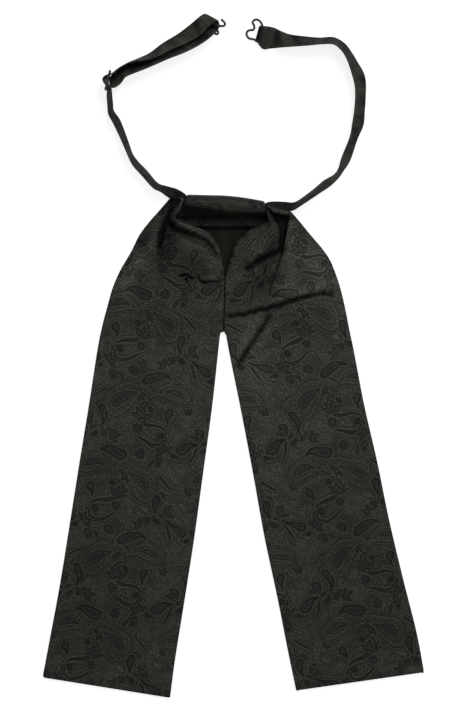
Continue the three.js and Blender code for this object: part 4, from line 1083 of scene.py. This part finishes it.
def band_piece(name, table):
    """The band's wall between its foot and top edges, a ruled surface with a quarter circle of
    thickness at each edge, and the band's length."""
    finest = np.linspace(0, len(table) - 1, BAND_PLACES * len(table))
    feet, tops = band_edges(table, finest)
    steps = np.linalg.norm(np.diff(feet + tops, axis=0), axis=1) / 2
    run = np.concatenate([[0], np.cumsum(steps)])
    count = int(round(run[-1] / BAND_STEP))
    places = np.linspace(0, run[-1], count + 1)
    foot, top = band_edges(table, np.interp(places, run, finest))
    normal = np.cross(np.gradient(foot + top, axis=0), top - foot)
    normal /= np.linalg.norm(normal, axis=1)[:, None]
    edge = BAND_RIM * np.array([0, 1 / 3, 1])
    inner = np.linspace(2 * BAND_RIM, 1 - 2 * BAND_RIM, BAND_COLUMNS - 3)
    share = np.concatenate([edge, inner, 1 - edge[::-1]])
    rim = np.clip(np.minimum(share, 1 - share) / BAND_RIM, 0, 1)
    full = np.maximum(BAND_RIM_LEAST, np.sqrt(1 - (1 - rim) ** 2))
    middle = foot[:, None] + (top - foot)[:, None] * share[None, :, None]
    middle[..., 2] += BAND_WALL / 2 * np.abs(normal[:, None, 2])
    half = BAND_WALL / 2 * full[None, :, None] * normal[:, None]
    cloth = np.stack(np.broadcast_arrays(share[None, :] * BAND_WIDTH, places[:, None]), -1)
    # painted highlights and painted shade on the band's colour
    fields = {"painted_sheen": painted_sheen(BAND_PAINTED_SHEEN, middle[..., 0], middle[..., 1])}
    return wall_mesh(name, middle + half, middle - half, 1, cloth, fields), run[-1]


# Folded satin: fine lengthwise floats, pressed edges with a painted highlight along them, and
# soft cross wrinkles where the band bends, in relief and with painted light and shade in their
# colour. A float of a real thread is too narrow to show, so each is drawn as wide as two or
# three. Sizes across and along the band, in mm.
FLOAT_SIZE = (0.4167, 3.846)
WRINKLE_SIZE = (25, 9.091)
# the span that is used of both noises, and the tones that its ends stand for: the floats' own
# tones, and the painted light and shade of the wrinkles
SATIN_SPAN = (0.3, 0.7)
FLOAT_TONES = (0.1, 0.7)
WRINKLE_PAINTED_TONES = (-0.5, 0.5)
# from the edge: where the pressed line sets in, is full, starts to end and has ended, and the
# tone of the highlight painted along it
PRESSED_START = (0.3, 1.0)
PRESSED_END = (1.3, 2.2)
PRESSED_HIGHLIGHT_TONE = 0.35
SATIN_INKS = [(0, colour("050505")), (1, colour("1e1e1b"))]
SATIN_ROUGHNESS = (0.55, 0.68)
# the depth of its relief, and the shares of it that floats and wrinkles have beside the edges
SATIN_DEPTH = 0.3
FLOAT_RELIEF = 0.2
WRINKLE_RELIEF = 2.0

band_satin, tree, shader = new_material("folded_black_satin")
place = add(tree, "UVMap", "UV", uv_map="cloth")
across = add(tree, "SeparateXYZ", "X", (place,))
to_edge = add(tree, "Math", "Value", (across, BAND_WIDTH / 2 * MM), operation="PINGPONG")
float_place, wrinkle_place = (
    add(tree, "Mapping", "Vector", {"Vector": place, "Scale": (1 / (x * MM), 1 / (y * MM), 1)})
    for x, y in (FLOAT_SIZE, WRINKLE_SIZE))
floats = add(tree, "TexNoise", "Fac", {"Vector": float_place, "Scale": 1.0, "Detail": 3.0})
wrinkles = add(tree, "TexNoise", "Fac", {"Vector": wrinkle_place, "Scale": 1.0, "Detail": 2.0})
line_start = add(tree, "MapRange", "Result", (to_edge, *(MM * v for v in PRESSED_START), 0, 1))
line_end = add(tree, "MapRange", "Result", (to_edge, *(MM * v for v in PRESSED_END), 1, 0))
pressed_line_and_highlight = add(tree, "Math", "Value", (line_start, line_end), operation="MULTIPLY")
float_tone = add(tree, "MapRange", "Result", (floats, *SATIN_SPAN, *FLOAT_TONES))
# painted light and shade of the wrinkles
wrinkle_painted_light = add(tree, "MapRange", "Result", (wrinkles, *SATIN_SPAN, *WRINKLE_PAINTED_TONES))
tone = add(tree, "Math", "Value", (float_tone, wrinkle_painted_light), operation="ADD")
# a painted highlight along the pressed edges
tone = add(tree, "Math", "Value", (pressed_line_and_highlight, PRESSED_HIGHLIGHT_TONE, tone), operation="MULTIPLY_ADD")
satin = add(tree, "ValToRGB", "Color", (tone,), SATIN_INKS)
roughness = add(tree, "MapRange", "Result", (floats, *SATIN_SPAN, *SATIN_ROUGHNESS))
relief = add(tree, "Math", "Value", (floats, FLOAT_RELIEF, pressed_line_and_highlight), operation="MULTIPLY_ADD")
relief = add(tree, "Math", "Value", (wrinkles, WRINKLE_RELIEF, relief), operation="MULTIPLY_ADD")
bump = add(tree, "Bump", "Normal",
           {"Height": relief, "Strength": 0.5, "Distance": SATIN_DEPTH * MM})
# the painted sheen lightens or darkens the satin's colour, as painted highlights and shade
tree.links.new(with_painted_sheen(tree, satin), shader.inputs["Base Color"])
tree.links.new(roughness, shader.inputs["Roughness"])
tree.links.new(bump, shader.inputs["Normal"])
shader.inputs["Specular IOR Level"].default_value = 0.02

for node, table in (("right_band", RIGHT_BAND), ("left_band", LEFT_BAND)):
    band, length = band_piece(node + "_cloth", table)
    band.data.materials.append(band_satin)
    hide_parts(node)
    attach(band, "root")

# Hook and eye: black enamelled wire, bent cold. The hook has a frame round the band's end
# fold, a tongue bent back to a hook, and an eyelet. The eye is one wire bent to a heart.
WIRE_RADIUS = 0.85
WIRE_SIDES = 14
WIRE_STEP = 0.3
# places on each row of a table that a wire's length is measured on
WIRE_PLACES = 80
# A wire's end is a flat dome: this far out and this wide, as shares of its radius.
DOME_OUT = 0.5
DOME_WIDE = 0.6
# a direction that no wire starts along, from which its first ring is laid out
RING_GUIDE = (0.3, 0.2, 0.9)
# Tables of x, y and z of a wire's middle line.
EYE_WIRE = [
    (27.25, 128.2, 2.2), (26.3, 125.6, 2.2), (25.3, 123.7, 2.2), (24.3, 122.7, 2.2), (23.1, 122.6, 2.1),
    (21.6, 123.8, 1.8), (19.8, 124.4, 1.3), (18.1, 124.6, 1), (16.3, 125.9, 0.7), (15.4, 128, 0.6),
    (16.1, 130.2, 0.6), (18.2, 131.2, 0.6), (20.2, 131.2, 0.6), (21.3, 132.9, 0.6), (20.9, 134.9, 0.6),
    (20, 136.8, 0.7), (20.9, 138.5, 0.8), (23.1, 139, 1), (25.2, 138, 1.5), (26.6, 136, 2),
    (27.3, 134, 2.2), (27.4, 131.9, 2.2), (27.4, 129.8, 2.2),
]
HOOK_FRAME = [
    (-12, 137.2, 7.2), (-15.8, 139.8, 2.2), (-16, 140.2, 1.4), (-14.6, 139.8, 0.9), (-12.9, 138.9, 1.6),
    (-8, 135.7, 8), (-5, 133.6, 12.6), (-4.9, 133.3, 13.8), (-6.2, 133.5, 14.2), (-7.8, 134.6, 12.8),
    (-11.7, 137, 7.7),
]
HOOK_TONGUE = [
    (-6.4, 134.9, 10.2), (-4.6, 133.9, 9.4), (-2.9, 133.6, 8.6), (-1.2, 134.1, 8), (-0.8, 135.6, 7.8),
    (-1.9, 137.2, 8), (-3.4, 138.5, 8.6),
]
# The hook's eyelet: its centre and radius, where on its round it starts and how far it goes, in
# half turns, its number of points, and the wire that leads to it.
EYELET = (-7.1, 129.4, 1.2, 1.3)
EYELET_TURN = (0.6, -1.9)
EYELET_POINTS = 14
EYELET_LEAD = [(-10.2, 133.6, 0.9), (-8.9, 131.2, 1)]


def eyelet_wire():
    """The eyelet's points: its lead, and then a level circle that almost closes."""
    x, y, z, radius = EYELET
    turn = np.pi * (EYELET_TURN[0] + EYELET_TURN[1] * np.linspace(0, 1, EYELET_POINTS))
    level = np.full(EYELET_POINTS, z)
    ring = np.stack([x + radius * np.cos(turn), y + radius * np.sin(turn), level], 1)
    return np.vstack([EYELET_LEAD, ring])


def wire_tube(rows):
    """Points, quads and end triangles of a round wire: a circle carried along a smooth curve
    through the rows, with domed ends. Each ring's frame is the last one's, turned to the new
    direction."""
    rows = np.asarray(rows, float)
    fine = between(rows, np.linspace(0, len(rows) - 1, WIRE_PLACES * len(rows)))
    run = np.concatenate([[0], np.cumsum(np.linalg.norm(np.diff(fine, axis=0), axis=1))])
    count = int(run[-1] / WIRE_STEP) + 1
    even = np.linspace(0, run[-1], count)
    path = np.stack([np.interp(even, run, fine[:, k]) for k in range(3)], 1)
    way = np.gradient(path, axis=0)
    way /= np.linalg.norm(way, axis=1)[:, None]
    side = np.cross(way[0], RING_GUIDE)
    sides = []
    for direction in way:
        side = side - direction * (side @ direction)
        side /= np.linalg.norm(side)
        sides.append(side)
    sides = np.array(sides)
    ups = np.cross(way, sides)
    out = DOME_OUT * WIRE_RADIUS
    path = np.vstack([path[0] - out * way[0], path, path[-1] + out * way[-1]])
    sides, ups = (np.vstack([v[0], v, v[-1]]) for v in (sides, ups))
    thick = WIRE_RADIUS * np.concatenate([[DOME_WIDE], np.ones(count), [DOME_WIDE]])
    angle = np.linspace(0, 2 * np.pi, WIRE_SIDES, endpoint=False)[None, :, None]
    around = np.cos(angle) * sides[:, None] + np.sin(angle) * ups[:, None]
    rings = path[:, None] + thick[:, None, None] * around
    points = np.vstack([rings.reshape(-1, 3), path[0], path[-1]])
    ring = np.arange(WIRE_SIDES)
    after = np.roll(ring, -1)
    start = np.arange(len(path) - 1)[:, None] * WIRE_SIDES
    next_start = start + WIRE_SIDES
    quads = np.stack([start + ring, start + after, next_start + after, next_start + ring], -1)
    last = (len(path) - 1) * WIRE_SIDES
    first_cap = np.stack([np.full(WIRE_SIDES, len(points) - 2), after, ring], 1)
    last_cap = np.stack([np.full(WIRE_SIDES, len(points) - 1), last + ring, last + after], 1)
    return points, quads.reshape(-1, 4), np.vstack([first_cap, last_cap])


def wire_piece(name, wires):
    """One object of several wires. A wire's faces are turned over where its volume, the sum of
    a . (b x c) over its triangles, comes out negative."""
    parts, count = [], 0
    for rows in wires:
        points, quads, caps = wire_tube(rows)
        a, b, c = (points[caps[:, k]] for k in range(3))
        volume = np.sum(a * np.cross(b, c))
        for k in ((0, 1, 2), (0, 2, 3)):
            a, b, c = (points[quads[:, i]] for i in k)
            volume += np.sum(a * np.cross(b, c))
        if volume < 0:
            quads, caps = quads[:, ::-1], caps[:, ::-1]
        parts.append((points * MM, quads + count, caps + count))
        count += len(points)
    return mesh_object(name, *(np.vstack(found) for found in zip(*parts)))


# Black enamel over steel wire, dipped and baked: smooth and half glossy, with specks where it
# has worn a little brighter. The specks' size and the depth of its orange peel are in mm.
WEAR_SIZE = 1.4286
WEAR_SPAN = (0.3, 0.7)
ENAMEL_INKS = [(0.45, colour("030303")), (0.75, colour("0f0f10"))]
ENAMEL_ROUGHNESS = (0.42, 0.58)
PEEL_DEPTH = 0.05

wire, tree, shader = new_material("black_enamelled_wire")
place = add(tree, "TexCoord", "Object")
wear = add(tree, "TexNoise", "Fac", {"Vector": place, "Scale": 1 / (WEAR_SIZE * MM), "Detail": 3.0})
enamel = add(tree, "ValToRGB", "Color", (wear,), ENAMEL_INKS)
roughness = add(tree, "MapRange", "Result", (wear, *WEAR_SPAN, *ENAMEL_ROUGHNESS))
bump = add(tree, "Bump", "Normal", {"Height": wear, "Strength": 0.3, "Distance": PEEL_DEPTH * MM})
tree.links.new(enamel, shader.inputs["Base Color"])
tree.links.new(roughness, shader.inputs["Roughness"])
tree.links.new(bump, shader.inputs["Normal"])
shader.inputs["Specular IOR Level"].default_value = 0.12

for node, wires in (("hook", [HOOK_FRAME, HOOK_TONGUE, eyelet_wire()]), ("eye", [EYE_WIRE])):
    piece = wire_piece(node + "_wire", wires)
    piece.data.materials.append(wire)
    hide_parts(node)
    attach(piece, "root")

# Slider: a slide stamped from steel sheet, with three bars, that the neckband is threaded
# through, enamelled black like the wires. It is the CAD solid, with its edges eased.
EASED = 0.2
slider = bpy.data.objects["slider"]
slider.data.materials.clear()
slider.data.materials.append(wire)
eased = slider.modifiers.new("eased_edges", "BEVEL")
eased.width = EASED * MM
eased.segments = 2

# Floor, lights and camera. The photograph looks straight down at 0.75 mm to a pixel, on a white
# ground with faint shadows: a sheet of dull paper that also gives light of its own.
PIXEL = 0.75
# the picture's size, and the place of the frame's origin in it, in pixels
FRAME = (450, 713)
ROLL_PIXEL = (226, 205)
# in metres: the camera's height, half the floor's width, and how far it lies below the tie
CAMERA_HEIGHT = 4.0
FLOOR_HALF = 4
FLOOR_GAP = 0.0002
SENSOR = 24
WHITE = (1, 1, 1, 1)
PAPER_GLOW = 0.82
WORLD_LIGHT = 1.1
# name, place in metres, side in metres, watts
LIGHTS = [("key", (0.3, 0.8, 1), 0.5, 38), ("overhead", (0.6, 0.4, 1.9), 1.6, 27)]
LIGHT_AIM = (0, -0.1, 0)
floor_mesh = bpy.data.meshes.new("floor")
floor_corners = [(a * FLOOR_HALF, b * FLOOR_HALF, 0) for a, b in ((-1, -1), (1, -1), (1, 1), (-1, 1))]
floor_mesh.from_pydata(floor_corners, [], [(0, 1, 2, 3)])
floor = bpy.data.objects.new("floor", floor_mesh)
bpy.context.scene.collection.objects.link(floor)
floor.location.z = -FLOOR_GAP
paper, tree, shader = new_material("white_light_table")
shader.inputs["Base Color"].default_value = colour("505050")
shader.inputs["Roughness"].default_value = 0.9
shader.inputs["Specular IOR Level"].default_value = 0.1
shader.inputs["Emission Color"].default_value = WHITE
shader.inputs["Emission Strength"].default_value = PAPER_GLOW
floor.data.materials.append(paper)


def area_light(name, place, size, power):
    """A soft square light at a place, turned to the tie."""
    data = bpy.data.lights.new(name, "AREA")
    data.shape = "SQUARE"
    data.size = size
    data.energy = power
    light = bpy.data.objects.new(name, data)
    bpy.context.scene.collection.objects.link(light)
    light.location = place
    light.rotation_euler = (Vector(LIGHT_AIM) - Vector(place)).to_track_quat("-Z", "Y").to_euler()


for name, place, size, power in LIGHTS:
    area_light(name, place, size, power)
world = bpy.data.worlds.new("studio")
world.use_nodes = True
background = world.node_tree.nodes["Background"]
background.inputs["Color"].default_value = WHITE
background.inputs["Strength"].default_value = WORLD_LIGHT
bpy.context.scene.world = world
bpy.context.scene.view_settings.view_transform = "Standard"

camera_data = bpy.data.cameras.new("camera")
camera_data.sensor_fit = "VERTICAL"
camera_data.sensor_height = SENSOR
camera_data.lens = SENSOR * CAMERA_HEIGHT / (FRAME[1] * PIXEL * MM)
camera_data.clip_end = 20
camera = bpy.data.objects.new("camera", camera_data)
bpy.context.scene.collection.objects.link(camera)
camera.location = ((FRAME[0] / 2 - ROLL_PIXEL[0]) * PIXEL * MM,
                   (ROLL_PIXEL[1] - FRAME[1] / 2) * PIXEL * MM, CAMERA_HEIGHT)
bpy.context.scene.camera = camera
